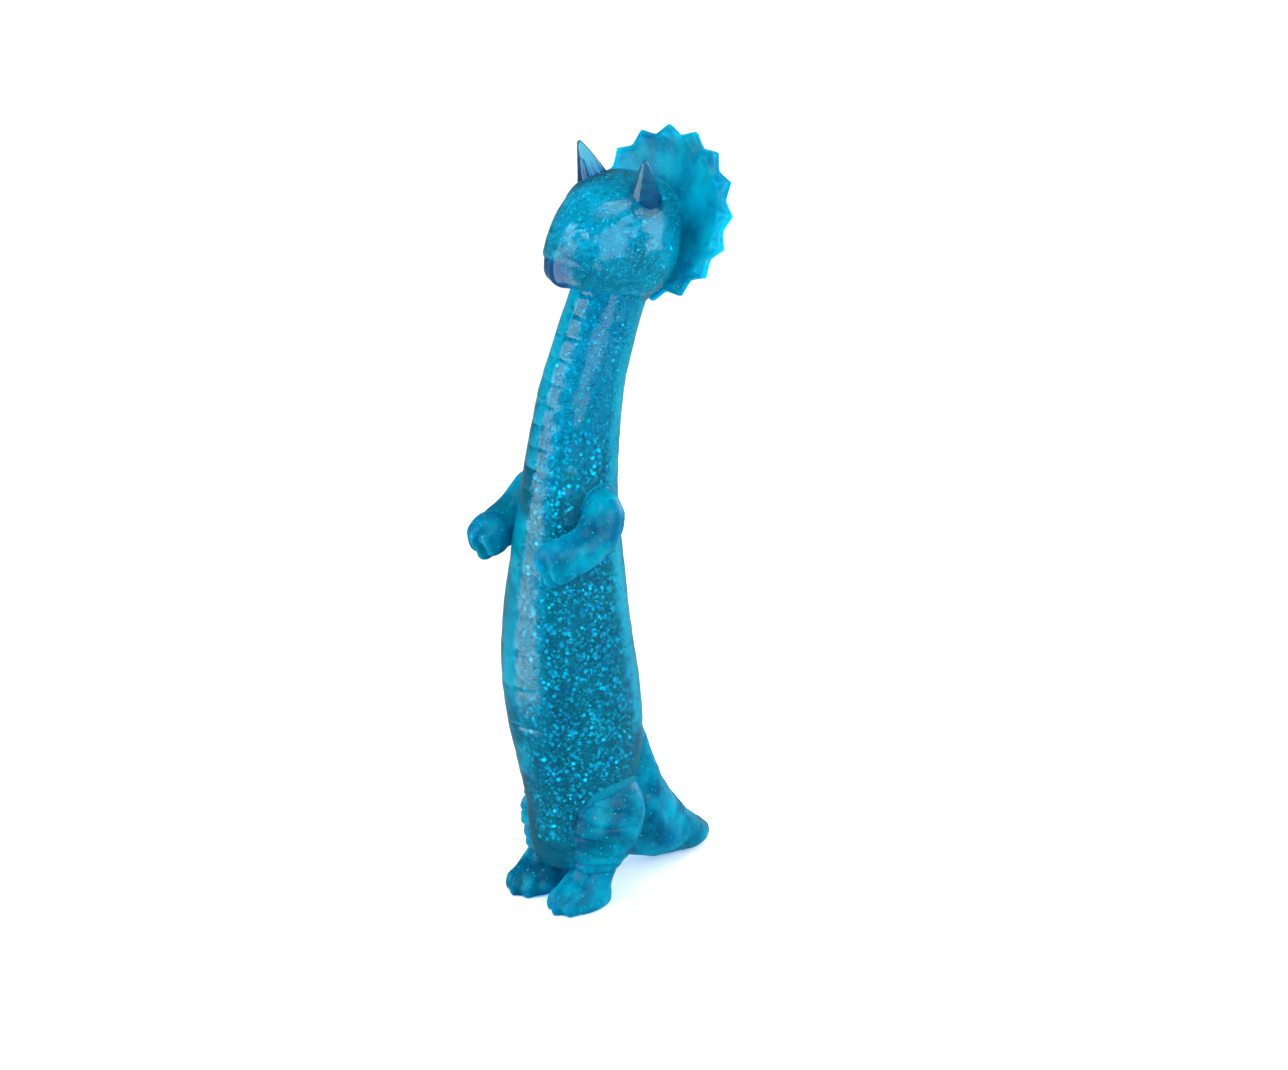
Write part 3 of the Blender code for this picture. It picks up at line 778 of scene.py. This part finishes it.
def flat_ring(z, radius, round_share=0.0):
    """Ring on the underside, between the filling hole and the trunk's edge."""
    x = radius * np.sin(ROUND)
    y = PLUG_BACK - radius * (1 + 0.2 * round_share) * np.cos(ROUND)
    return np.stack([x, y, np.full(len(ROUND), z)], -1)


def body_skin():
    """Outside from the filling hole up to the low cut, then inside back down to the hole."""
    near = UNDERSIDE + CORNER_RISE * np.linspace(0, 1, 9)[:-1] ** 1.7
    under = [
        flat_ring(UNDERSIDE + 0.5, PLUG_HOLE), flat_ring(UNDERSIDE + 0.1, PLUG_HOLE + 0.25),
        flat_ring(UNDERSIDE, PLUG_HOLE + 0.9, 0.3)]
    corner = [trunk([z], ROUND)[0] for z in near]
    out = RINGS[ALL <= LOW_CUT]
    down = [LOW_CUT, 112, 108, 104, 98, 92, 84, 76, 68, 60, 52, 44, 36, 28, 22, 17, 14]
    inside = inner_rings(np.array(down))
    floor_in = [flat_ring(12.4, 5.0, 1), flat_ring(11.8, PLUG_HOLE)]
    outer = under + corner + list(out)
    rings = outer + list(inside) + floor_in
    looks = [0] * (len(outer) - 1) + [1] * (len(inside) + 2) + [0]
    return loft("body_skin", rings, [CLEAR, INNER], looks, cyclic=True)


def neck_skin():
    kept = (ALL >= LOW_CUT) & (ALL <= HIGH_CUT)
    inside = inner_rings(np.linspace(HIGH_CUT, LOW_CUT, 8))
    looks = [0] * (kept.sum() - 1) + [1] * (len(inside) + 1)
    return loft("neck_skin", list(RINGS[kept]) + list(inside), [CLEAR, INNER], looks, cyclic=True)


def head_relief(ring_points):
    """Nostrils, beak, mouth, cheeks, eyes and brow, as height over the plain skull."""
    x = ring_points[..., 0]
    local = ring_points - HEAD_START
    f, u = local @ HEAD_AHEAD, local @ HEAD_UP
    side = np.abs(x)
    height = 0.09 * ripple(ring_points, 6.0, 21)
    # beak: a ridge down the middle of the snout
    height += 0.5 * bump(x / 3.4) * ease((f - 8) / 8) * ease((14 - u) / 5)
    # nostrils and the rims round them
    nostril = np.sqrt(((side - 4.6) / 1.5) ** 2 + ((u - 13.4) / 1.15) ** 2)
    height += np.where(f > 4, -0.6 * bump(nostril / 1.1) + 0.2 * bump((nostril - 1.35) / 0.6), 0)
    # mouth: from under the nose back and down to the corner, with the jaw set in below it
    path = 7.6 - 0.30 * (19.5 - f) - 0.018 * (19.5 - f) ** 2
    reach = ease((f - 5.5) / 4)
    height -= 0.26 * reach * np.exp(-((u - path) / 0.6) ** 2)
    height += 0.14 * reach * np.exp(-((u - path - 1.5) / 0.8) ** 2)
    height -= 0.16 * reach * ease((path - u) / 1.2) * ease((u + 1) / 2)
    # cheek
    cheek = np.sqrt(((f + 1) / 10.5) ** 2 + ((u - 9) / 7) ** 2)
    height += 0.55 * bump(cheek)
    # eye bump with a lid line
    eye = np.sqrt(((f - 4.6) / 3.2) ** 2 + ((u - 16.6) / 2.2) ** 2)
    height += np.where(side > 4, 0.26 * bump(eye / 1.15) - 0.08 * bump((eye - 1.2) / 0.35), 0)
    # brow ridge between the horns
    ridge = np.exp(-((f - 6.2 + 0.35 * (u - 20)) / 1.5) ** 2)
    height += 0.35 * ridge * ease((u - 17.6) / 2) * ease((25.5 - u) / 2)
    return height


def head_skin():
    """The inside of the head and of the neck's end, then their outside up to the crown."""
    kept = ALL >= HIGH_CUT
    at = heights_between(0.0, HEAD[-1][0], STEP)[1:]
    plain = skull(head_at, at, ROUND)
    join = np.concatenate([RINGS[kept], plain])
    out = join.copy()
    normals = normals_of(join)
    lift = head_relief(plain) * ease((at - 3) / 5)[:, None]
    out[kept.sum():] += normals[kept.sum():] * lift[..., None]
    inside_head = skull(gel_at, np.linspace(29.6, 0, 24), ROUND, GEL_GAP)
    inside_neck = inner_rings(np.linspace(NECK_GEL_TOP, HIGH_CUT, 8))
    rings = list(inside_head) + list(inside_neck) + list(out)
    looks = [1] * (len(inside_head) + len(inside_neck)) + [0] * (kept.sum() - 1) + [2] * len(at)
    return loft("head_skin", rings, [CLEAR, INNER, HEAD_CLEAR], looks)


# each slug of gel also gives the rings over which its foil flakes are strewn
def body_gel():
    heights = heights_between(14.0, LOW_CUT, 1.2)
    rings = gel_rings(heights)
    low = [flat_ring(13.0, 4.6, 1), flat_ring(12.8, 2.0, 1)]
    return loft("body_gel", low[::-1] + list(rings), [GEL]), rings


def neck_gel():
    rings = gel_rings(heights_between(LOW_CUT, HIGH_CUT, 1.0))
    return loft("neck_gel", rings, [GEL]), rings


def head_gel():
    neck = gel_rings(heights_between(HIGH_CUT, NECK_GEL_TOP, 1.0))
    head = skull(gel_at, np.linspace(0.6, 29.8, 40), ROUND)
    rings = np.concatenate([neck, head])
    return loft("head_gel", rings, [HEAD_GEL_LOOK]), rings


# ---------------------------------------------------------------- glitter
FLAKE_CORNERS = 4
FLAKE_THICK = 0.09  # share of a flake's radius


def scatter_tree():
    """Foil flakes strewn over a surface, with named inputs for sizes, number, lift and seed."""
    tree = bpy.data.node_groups.new("Strewn Flakes", "GeometryNodeTree")
    new_socket = tree.interface.new_socket
    new_socket("Geometry", in_out="INPUT", socket_type="NodeSocketGeometry")
    for name, kind, value in (
        ("Flakes per Area", FLOAT, 1e6), ("Smallest", FLOAT, 0.0002),
        ("Largest", FLOAT, 0.0005), ("Lowest", FLOAT, -0.0002), ("Highest", FLOAT, 0.0006),
        ("Seed", WHOLE, 1), ("Corners", WHOLE, 6),
    ):
        new_socket(name, in_out="INPUT", socket_type=kind).default_value = value
    new_socket("Foil", in_out="INPUT", socket_type="NodeSocketMaterial")
    new_socket("Geometry", in_out="OUTPUT", socket_type="NodeSocketGeometry")
    given = tree.nodes.new("NodeGroupInput").outputs
    end = tree.nodes.new("NodeGroupOutput")

    def drawn(low, high, offset, kind="FLOAT"):
        """A number or a vector drawn for each flake, with a seed of its own."""
        node = put(tree, "FunctionNodeRandomValue", set_data_type=kind)
        first, out = (0, 0) if kind == "FLOAT_VECTOR" else (2, 1)
        feed(tree, node.inputs[first], low)
        feed(tree, node.inputs[first + 1], high)
        wire(tree, node, Seed=maths(tree, "ADD", "Own seed", given["Seed"], float(offset)))
        return node.outputs[out]

    points = put(
        tree, "GeometryNodeDistributePointsOnFaces", "Where flakes lie", Mesh=given["Geometry"],
        Density=given["Flakes per Area"], Seed=given["Seed"]).outputs
    lift = vectors(tree, "SCALE", "Lift", points["Normal"],
                   Scale=drawn(given["Lowest"], given["Highest"], 5))
    lifted = put(tree, "GeometryNodeSetPosition", "Lifted", Geometry=points["Points"],
                 Offset=lift)
    cut = put(tree, "GeometryNodeMeshCylinder", "Cut flake", set_fill_type="NGON",
              Vertices=given["Corners"], Radius=1.0, Depth=FLAKE_THICK)
    tilt = put(tree, "FunctionNodeEulerToRotation", "Own tilt",
               drawn((-0.6, -0.6, 0), (0.6, 0.6, TURN), 11, "FLOAT_VECTOR"))
    turned = put(tree, "FunctionNodeRotateRotation", "Tilted flake", points["Rotation"],
                 tilt.outputs[0], set_rotation_space="LOCAL")
    strewn = put(
        tree, "GeometryNodeInstanceOnPoints", "Flakes", Points=lifted.outputs[0],
        Instance=cut.outputs["Mesh"], Rotation=turned.outputs[0],
        Scale=drawn(given["Smallest"], given["Largest"], 17))
    tinted = put(
        tree, "GeometryNodeStoreNamedAttribute", "Own number", set_data_type="FLOAT",
        set_domain="INSTANCE", Geometry=strewn.outputs[0], Name="glint",
        Value=drawn(0.0, 1.0, 23))
    real = put(tree, "GeometryNodeRealizeInstances", "Real flakes", Geometry=tinted.outputs[0])
    foiled = put(tree, "GeometryNodeSetMaterial", "Foil", Geometry=real.outputs[0],
                 Material=given["Foil"])
    tree.links.new(foiled.outputs[0], end.inputs[0])
    return tree


SCATTER = scatter_tree()


def strew(name, rings, seed, per_mm2, sizes, lifts):
    """Flakes over a run of rings, as one plain mesh."""
    carrier = loft(name + "_carrier", rings, [])
    # the fans that close the carrier's ends hold no flakes
    bm = bmesh.new()
    bm.from_mesh(carrier.data)
    fans = [face for face in bm.faces if len(face.verts) == 3]
    bmesh.ops.delete(bm, geom=fans, context="FACES_ONLY")
    bm.to_mesh(carrier.data)
    bm.free()
    made = carrier.modifiers.new("Flakes", "NODES")
    made.node_group = SCATTER
    wanted = {
        "Flakes per Area": per_mm2 / MM ** 2, "Smallest": sizes[0] * MM,
        "Largest": sizes[1] * MM, "Lowest": lifts[0] * MM, "Highest": lifts[1] * MM,
        "Seed": seed, "Corners": FLAKE_CORNERS, "Foil": FLAKE}
    for item in SCATTER.interface.items_tree:
        if item.in_out == "INPUT" and item.name in wanted:
            made[item.identifier] = wanted[item.name]
    carrier.update_tag()
    bpy.context.view_layer.update()
    graph = bpy.context.evaluated_depsgraph_get()
    mesh = bpy.data.meshes.new_from_object(carrier.evaluated_get(graph))
    obj = bpy.data.objects.new(name, mesh)
    bpy.context.scene.collection.objects.link(obj)
    bpy.data.objects.remove(carrier)
    return obj


# ---------------------------------------------------------------- frill, horns
def frill_piece():
    """Scalloped collar: pointed rim, a bump behind each point, and shallow valleys between."""
    count = FRILL_TIPS * FRILL_PER_TIP
    a = turns(count)
    phase = (np.arange(count) % FRILL_PER_TIP) / FRILL_PER_TIP
    point = 1 - np.abs(2 * phase - 1)  # 1 at a tip, 0 half way between two
    tip = point ** 1.4
    ahead_way = np.array((0.0, -math.cos(FRILL_TILT), math.sin(FRILL_TILT)))
    up_way = np.array((0.0, math.sin(FRILL_TILT), math.cos(FRILL_TILT)))
    shares = np.concatenate([np.linspace(0.30, 0.80, 12), np.linspace(0.82, 1.0, 14)])
    rows = []

    def row(share, ahead):
        """One ring of the collar, at a share of its radius."""
        strength = ease((share - 0.72) / 0.28)
        radius = FRILL_RADIUS * share + FRILL_SCALLOP * strength * (tip * 1.05 - 0.5)
        x = radius * FRILL_WIDER * np.sin(a)
        up = radius * np.cos(a)
        flat = FRILL_CENTRE + x[:, None] * (1, 0, 0) + up[:, None] * up_way
        return flat + np.asarray(ahead)[:, None] * ahead_way

    # front face: ridges run out to the points, with a knob behind each
    for share in shares:
        ahead = -0.5 + 1.25 * ease((share - 0.45) / 0.5)
        knob = np.exp(-((share - 0.9) / 0.045) ** 2) * np.exp(-((point - 1) / 0.42) ** 2)
        ridge = 0.28 * (point - 0.5) * ease((share - 0.55) / 0.25)
        edge = 1 - ease((share - 0.9) / 0.1)
        lift = (ridge + 0.75 * knob) * (0.3 + 0.7 * edge)
        rows.append(row(share, ahead + lift - 0.25 * (1 - edge)))
    rows.append(row(1.012, np.full(count, 0.05)))
    # back face: plain, but for the hollows behind the knobs
    for share in shares[::-1]:
        behind = -0.1 - FRILL_THICK + 1.2 * ease((share - 0.5) / 0.5) * 0.9
        knob = np.exp(-((share - 0.9) / 0.05) ** 2) * np.exp(-((point - 1) / 0.42) ** 2)
        edge = ease((share - 0.93) / 0.07)
        rows.append(row(share, np.full(count, behind) - 0.25 * knob + 0.5 * edge))
    return loft("frill_collar", rows, [FRILL])


def horn_piece(side, name):
    """Slightly bowed cone on the brow."""
    base, tip = HORN_BASE * (side, 1, 1), HORN_TIP * (side, 1, 1)
    way = (tip - base) / np.linalg.norm(tip - base)
    u = np.cross(way, (1.0, 0, 0))
    u /= np.linalg.norm(u)
    v = np.cross(way, u)
    a = turns(40)
    rows = []
    for t, r in HORN_TAPER:
        centre = base + (tip - base) * t + u * 0.35 * math.sin(t * 2.2)
        rows.append(centre + r * (np.cos(a)[:, None] * u + np.sin(a)[:, None] * v))
    return loft(name, rows, [HORN])


# ---------------------------------------------------------------- limbs and tail
ROOTED = 0.5  # how deep a limb is let into the skin
PAW_MIDDLE, PAW_WIDE = 11.3, 4.6
TOE_MIDDLE, TOE_WIDE = 7.3, 3.1


def out_of_body(rings, sideways=True):
    """Brings what lies inside the trunk out to just under its skin, sideways or backwards."""
    rings = rings.copy()
    x, y, z = rings[..., 0], rings[..., 1], rings[..., 2]
    at = np.clip(z, UNDERSIDE, TRUNK_TOP).reshape(-1)
    centre, wide, deep = (c.reshape(z.shape) for c in trunk_at(at).T)
    if sideways:
        share = np.clip(1 - ((y - centre) / deep) ** 2, 0, 1)
        least = wide * np.sqrt(share) - ROOTED
        push = (z > UNDERSIDE) & (np.abs(x) < least)
        rings[..., 0] = np.where(push, np.where(x < 0, -least, least), x)
    else:
        share = np.clip(1 - (x / wide) ** 2, 0, 1)
        least = centre + deep * np.sqrt(share) - ROOTED
        rings[..., 1] = np.where((z > UNDERSIDE) & (y < least), least, y)
    return rings


def path_points(path, side, steps, count):
    """Stations along a limb's table, the rings there, and the turns round it."""
    read = through([(k, *row) for k, row in enumerate(path)])
    t = np.linspace(0, len(path) - 1, steps)
    rows = read(t)
    centre = rows[:, :3] * (side, 1, 1)
    ahead = np.gradient(centre, axis=0)
    ahead /= np.linalg.norm(ahead, axis=1, keepdims=True)
    # a steady sideways reference, which follows the arm round its shoulder
    reference = np.stack([np.zeros(steps), 0 * t, np.ones(steps)], -1)
    v = reference - ahead * (reference * ahead).sum(1, keepdims=True)
    v /= np.linalg.norm(v, axis=1, keepdims=True)
    u = np.cross(v, ahead)
    a = turns(count)
    wide, tall = rows[:, 3][:, None, None], rows[:, 4][:, None, None]
    rings = centre[:, None, :] + wide * np.cos(a)[None, :, None] * u[:, None, :]
    return t, rings + tall * np.sin(a)[None, :, None] * v[:, None, :], a


def arm_piece(side, name):
    t, rings, a = path_points(ARM, side, 72, 64)
    normals = normals_of(rings)
    z, x = rings[..., 2], np.abs(rings[..., 0])
    # fingers: grooves that run over the paw's end
    paw = ease((t[:, None] - 5.6) / 1.4)
    across = (x - PAW_MIDDLE) / PAW_WIDE
    fingers = np.cos(across * 3 * math.pi)
    lift = 0.6 * paw * (fingers - 0.4) * ease((93.4 - z) / 3)
    # creases inside the elbow and round the wrist
    lift += -0.35 * np.exp(-((t[:, None] - 3.3) / 0.22) ** 2) * bump((a[None, :] - 4.7) / 2.2)
    lift += -0.22 * np.exp(-((t[:, None] - 5.2) / 0.2) ** 2)
    lift += 0.16 * ripple(rings, 4.5, 31 + side)
    return loft(name, out_of_body(rings + normals * lift[..., None]), [LIMB])


# height, depth and slant of a wrinkle
LEG_WRINKLES = [
    (9.2, 0.5, 0.5), (11.4, 0.44, 0.7), (14.2, 0.42, 1.2), (17.6, 0.4, 1.6),
    (21.4, 0.42, 2.0), (25.2, 0.36, 2.2), (28.6, 0.24, 2.2),
]


def leg_piece(side, name):
    sole, top = LEG[1][0], LEG[-2][0]
    heights = np.concatenate([np.linspace(0, sole, 4)[:-1], heights_between(sole, top, 0.34)])
    x, y, wide, long = (c[:, None] for c in leg_at(heights).T)
    a = turns(72)[None, :]
    across, along = side * (x + wide * np.sin(a)), y - long * np.cos(a)
    rings = np.stack([across, along, heights[:, None] + 0 * a], -1)
    normals = normals_of(rings)
    z = rings[..., 2]
    lift = 0.14 * ripple(rings, 5.0, 41 + side)
    # wrinkles round the shank and thigh
    wrinkle = np.zeros_like(z)
    for at, depth, tilt in LEG_WRINKLES:
        line = at + tilt * np.cos(a + 0.6) + 0.25 * np.sin(3 * a + at)
        wrinkle -= depth * np.exp(-((z - line) / 0.42) ** 2)
        wrinkle += depth * 0.55 * np.exp(-((z - line - 1.1) / 0.6) ** 2)
    lift += wrinkle * ease((z - 6) / 3) * (0.35 + 0.65 * bump(wrapped(a) / 2.6))
    # toes: three rounded ends parted by grooves
    front = ease((-rings[..., 1] - 3.5) / 3.5) * ease((5.6 - z) / 2.0)
    across = (np.abs(rings[..., 0]) - TOE_MIDDLE) / TOE_WIDE
    toes = np.cos(across * TURN)
    lift += front * (0.55 * toes + 0.25)
    lift *= ease(z / 0.8)
    return loft(name, out_of_body(rings + normals * lift[..., None]), [LIMB])


def tail_piece():
    root, end = TAIL[0][0], TAIL[-1][0]
    at = heights_between(root, TAIL_ROUNDS, STEP)[:-1]
    at = np.concatenate([at, np.linspace(TAIL_ROUNDS, end, 8)])
    low, high, wide = (c[:, None] for c in tail_at(at).T)
    a = turns(96)[None, :]
    up = (low + high) / 2 - (high - low) / 2 * np.cos(a)
    flatten = 1.0 + 0.12 * ease(((low + high) / 2 - up) / 4)
    x = wide * np.sin(a) * flatten
    rings = np.stack([x, at[:, None] + 0 * a, np.maximum(up, low)], -1)
    normals = normals_of(rings)
    lift = 0.16 * ripple(rings, 6.0, 51) + 0.06 * ripple(rings, 2.4, 52)
    lift *= ease((rings[..., 2] - 0.2) / 1.5)
    rings = out_of_body(rings + normals * lift[..., None], sideways=False)
    return loft("tail_cone", rings, [LIMB])


# ---------------------------------------------------------------- pieces and how they move
body = body_skin()
neck = neck_skin()
head = head_skin()
gel_body, body_core = body_gel()
gel_neck, neck_core = neck_gel()
gel_head, head_core = head_gel()

# seed, flakes per square millimetre, their radii, and how far over the gel they lie
glitter_body = strew("body_glitter", body_core[1:], 11, 1.75, (0.14, 0.6), (-0.1, 0.9))
glitter_neck = strew("neck_glitter", neck_core, 12, 2.4, (0.14, 0.38), (-0.1, 0.8))
glitter_head = strew("head_glitter", head_core, 13, 2.6, (0.14, 0.38), (0.0, 1.4))

frill = frill_piece()
horns = [horn_piece(1, "left_horn"), horn_piece(-1, "right_horn")]
arms = [arm_piece(1, "left_arm_skin"), arm_piece(-1, "right_arm_skin")]
legs = [leg_piece(1, "left_leg_skin"), leg_piece(-1, "right_leg_skin")]
tail = tail_piece()


def on_axis(height):
    return Vector(world((0.0, trunk_at(height)[0, 0], height)))


NECK_JOINTS = (
    ("torso", "neck_lower", SHOULDER_FLEX, (body, gel_body, glitter_body)),
    ("neck_lower", "neck_upper", MID_FLEX, (neck, gel_neck, glitter_neck)),
    ("neck_upper", "head", NAPE_FLEX, (head, gel_head, glitter_head)),
)
for lower, upper, (low, high), pieces in NECK_JOINTS:
    for piece in pieces:
        on_axis(low)
        on_axis(high)
        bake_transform(piece)
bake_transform(tail)
for side, arm, name in ((1, arms[0], "left_arm"), (-1, arms[1], "right_arm")):
    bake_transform(arm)
for piece in horns + [frill]:
    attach(piece, "head")
for piece in legs:
    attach(piece, "torso")

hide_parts("torso_skin", "neck_base_flex")
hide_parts("lower_neck_skin", "mid_neck_flex")
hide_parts("upper_neck_skin", "nape_flex", "head_skin", "left_eye", "right_eye")
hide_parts("torso_gel", "neck_base_flex_gel")
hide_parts("lower_neck_gel", "mid_neck_flex_gel")
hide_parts("upper_neck_gel", "nape_flex_gel", "head_gel")
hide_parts("frill")
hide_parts("left_brow_horn")
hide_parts("right_brow_horn")
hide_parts("left_arm", "left_shoulder")
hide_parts("right_arm", "right_shoulder")
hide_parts("left_leg")
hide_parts("right_leg")
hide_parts("tail_root", "tail_flex", "tail_tip")

for name, finish in (("fill_plug", PLUG), ("plug_seal", GLUE)):
    for slot in frame["nodes"][name].material_slots:
        slot.material = finish


# ---------------------------------------------------------------- floor, light, camera
FLOOR_HALF = 4.0
FLOOR_PAINT, FLOOR_MIRRORED = (0.93, 0.93, 0.93, 1), (0.12, 0.13, 0.14, 1)
SKY, SKY_MIRRORED = (1, 1, 1, 1), (0.1, 0.11, 0.12, 1)
SKY_POWER = 0.85
CARD_TURN = math.radians(-13)  # which way the card stands from the toy
CARD_POWER = 9.0
LAMP_COLOUR = (0.93, 1.0, 1.0)
TOY_MIDDLE = Vector((0, 0, 0.09))
CAMERA_AT = Vector((0.7634, -0.7013, 0.4842))
LOOK_AT = Vector((0.01233, -0.00088, 0.08997))
CAMERA_LENS = 134.9


def seen_in_gloss(tree):
    """1 for rays that a glossy surface mirrors, so that the white studio doesn't veil the toy."""
    path = tree.nodes.new("ShaderNodeLightPath").outputs
    return maths(tree, "MULTIPLY", "Mirrored", path["Is Glossy Ray"], path["Is Reflection Ray"])


def glowing_card(tree, mirrored):
    """A glowing card's fan of light on the floor, which only the toy's gloss shows."""
    ground = tree.nodes.new("ShaderNodeTexCoord").outputs["Object"]
    across = (math.cos(CARD_TURN), math.sin(CARD_TURN), 0)
    towards = (math.sin(CARD_TURN), -math.cos(CARD_TURN), 0)
    beside = vectors(tree, "DOT_PRODUCT", "Beside the card", ground, across)
    beside = maths(tree, "ABSOLUTE", "Off its middle", beside)
    ahead = vectors(tree, "DOT_PRODUCT", "Towards the card", ground, towards)
    fan = maths(tree, "DIVIDE", "Card fan", beside, ahead)
    fan = remap(tree, "In the fan", fan, (0.62, 0.3), smooth=True)
    front = remap(tree, "In front", ahead, (0.08, 0.16), smooth=True)
    card = maths(tree, "MULTIPLY", "Card", fan, front)
    card = maths(tree, "MULTIPLY", "Card seen", card, mirrored)
    return mixed(tree, card, (0, 0, 0, 1), (0.8, 1, 1, 1))


def floor_look():
    made = bpy.data.materials.new("Pale floor")
    made.use_nodes = True
    tree = made.node_tree
    mirrored = seen_in_gloss(tree)
    wire(tree, tree.nodes["Principled BSDF"], Roughness=0.9,
         Base_Color=mixed(tree, mirrored, FLOOR_PAINT, FLOOR_MIRRORED),
         Emission_Color=glowing_card(tree, mirrored), Emission_Strength=CARD_POWER)
    return made


def studio_floor():
    mesh = bpy.data.meshes.new("floor")
    near, far = -FLOOR_HALF, FLOOR_HALF
    corners = [(near, near, 0), (far, near, 0), (far, far, 0), (near, far, 0)]
    mesh.from_pydata(corners, [], [(0, 1, 2, 3)])
    mesh.materials.append(floor_look())
    obj = bpy.data.objects.new("floor", mesh)
    bpy.context.scene.collection.objects.link(obj)
    return obj


def studio_sky():
    made = bpy.data.worlds.new("Studio")
    made.use_nodes = True
    tree = made.node_tree
    wire(tree, tree.nodes["Background"], Strength=SKY_POWER,
         Color=mixed(tree, seen_in_gloss(tree), SKY, SKY_MIRRORED))
    return made


def softbox(name, azimuth, elevation, distance, width, height, power):
    """Soft rectangular lamp; azimuth is the side that it shines from, as a view's is."""
    a, e = math.radians(azimuth), math.radians(elevation)
    lamp = bpy.data.lights.new(name, "AREA")
    lamp.shape, lamp.size, lamp.size_y, lamp.energy = "RECTANGLE", width, height, power
    lamp.color = LAMP_COLOUR
    obj = bpy.data.objects.new(name, lamp)
    way = Vector((math.sin(a) * math.cos(e), -math.cos(a) * math.cos(e), math.sin(e)))
    obj.location = TOY_MIDDLE + way * distance
    obj.rotation_euler = way.to_track_quat("Z", "Y").to_euler()
    bpy.context.scene.collection.objects.link(obj)


def studio_camera():
    made = bpy.data.cameras.new("camera")
    made.lens = CAMERA_LENS
    made.sensor_width = 36.0
    obj = bpy.data.objects.new("camera", made)
    obj.location = CAMERA_AT
    obj.rotation_euler = (CAMERA_AT - LOOK_AT).to_track_quat("Z", "Y").to_euler()
    bpy.context.scene.collection.objects.link(obj)
    return obj


floor = studio_floor()
floor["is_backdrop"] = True
bpy.context.scene.world = studio_sky()
bpy.context.scene.view_settings.view_transform = "Standard"

# name, azimuth, elevation, distance, width, height, power
softbox("left_box", -18, 22, 0.8, 0.65, 0.6, 8)
softbox("right_box", 112, 22, 0.8, 0.4, 0.6, 5)
softbox("near_box", 66, 20, 0.9, 0.5, 0.6, 4)
softbox("top_box", 40, 75, 1.0, 0.4, 0.4, 3)
softbox("back_box", 178, 8, 0.9, 0.5, 0.5, 4)
bpy.context.scene.camera = studio_camera()

low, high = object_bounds()
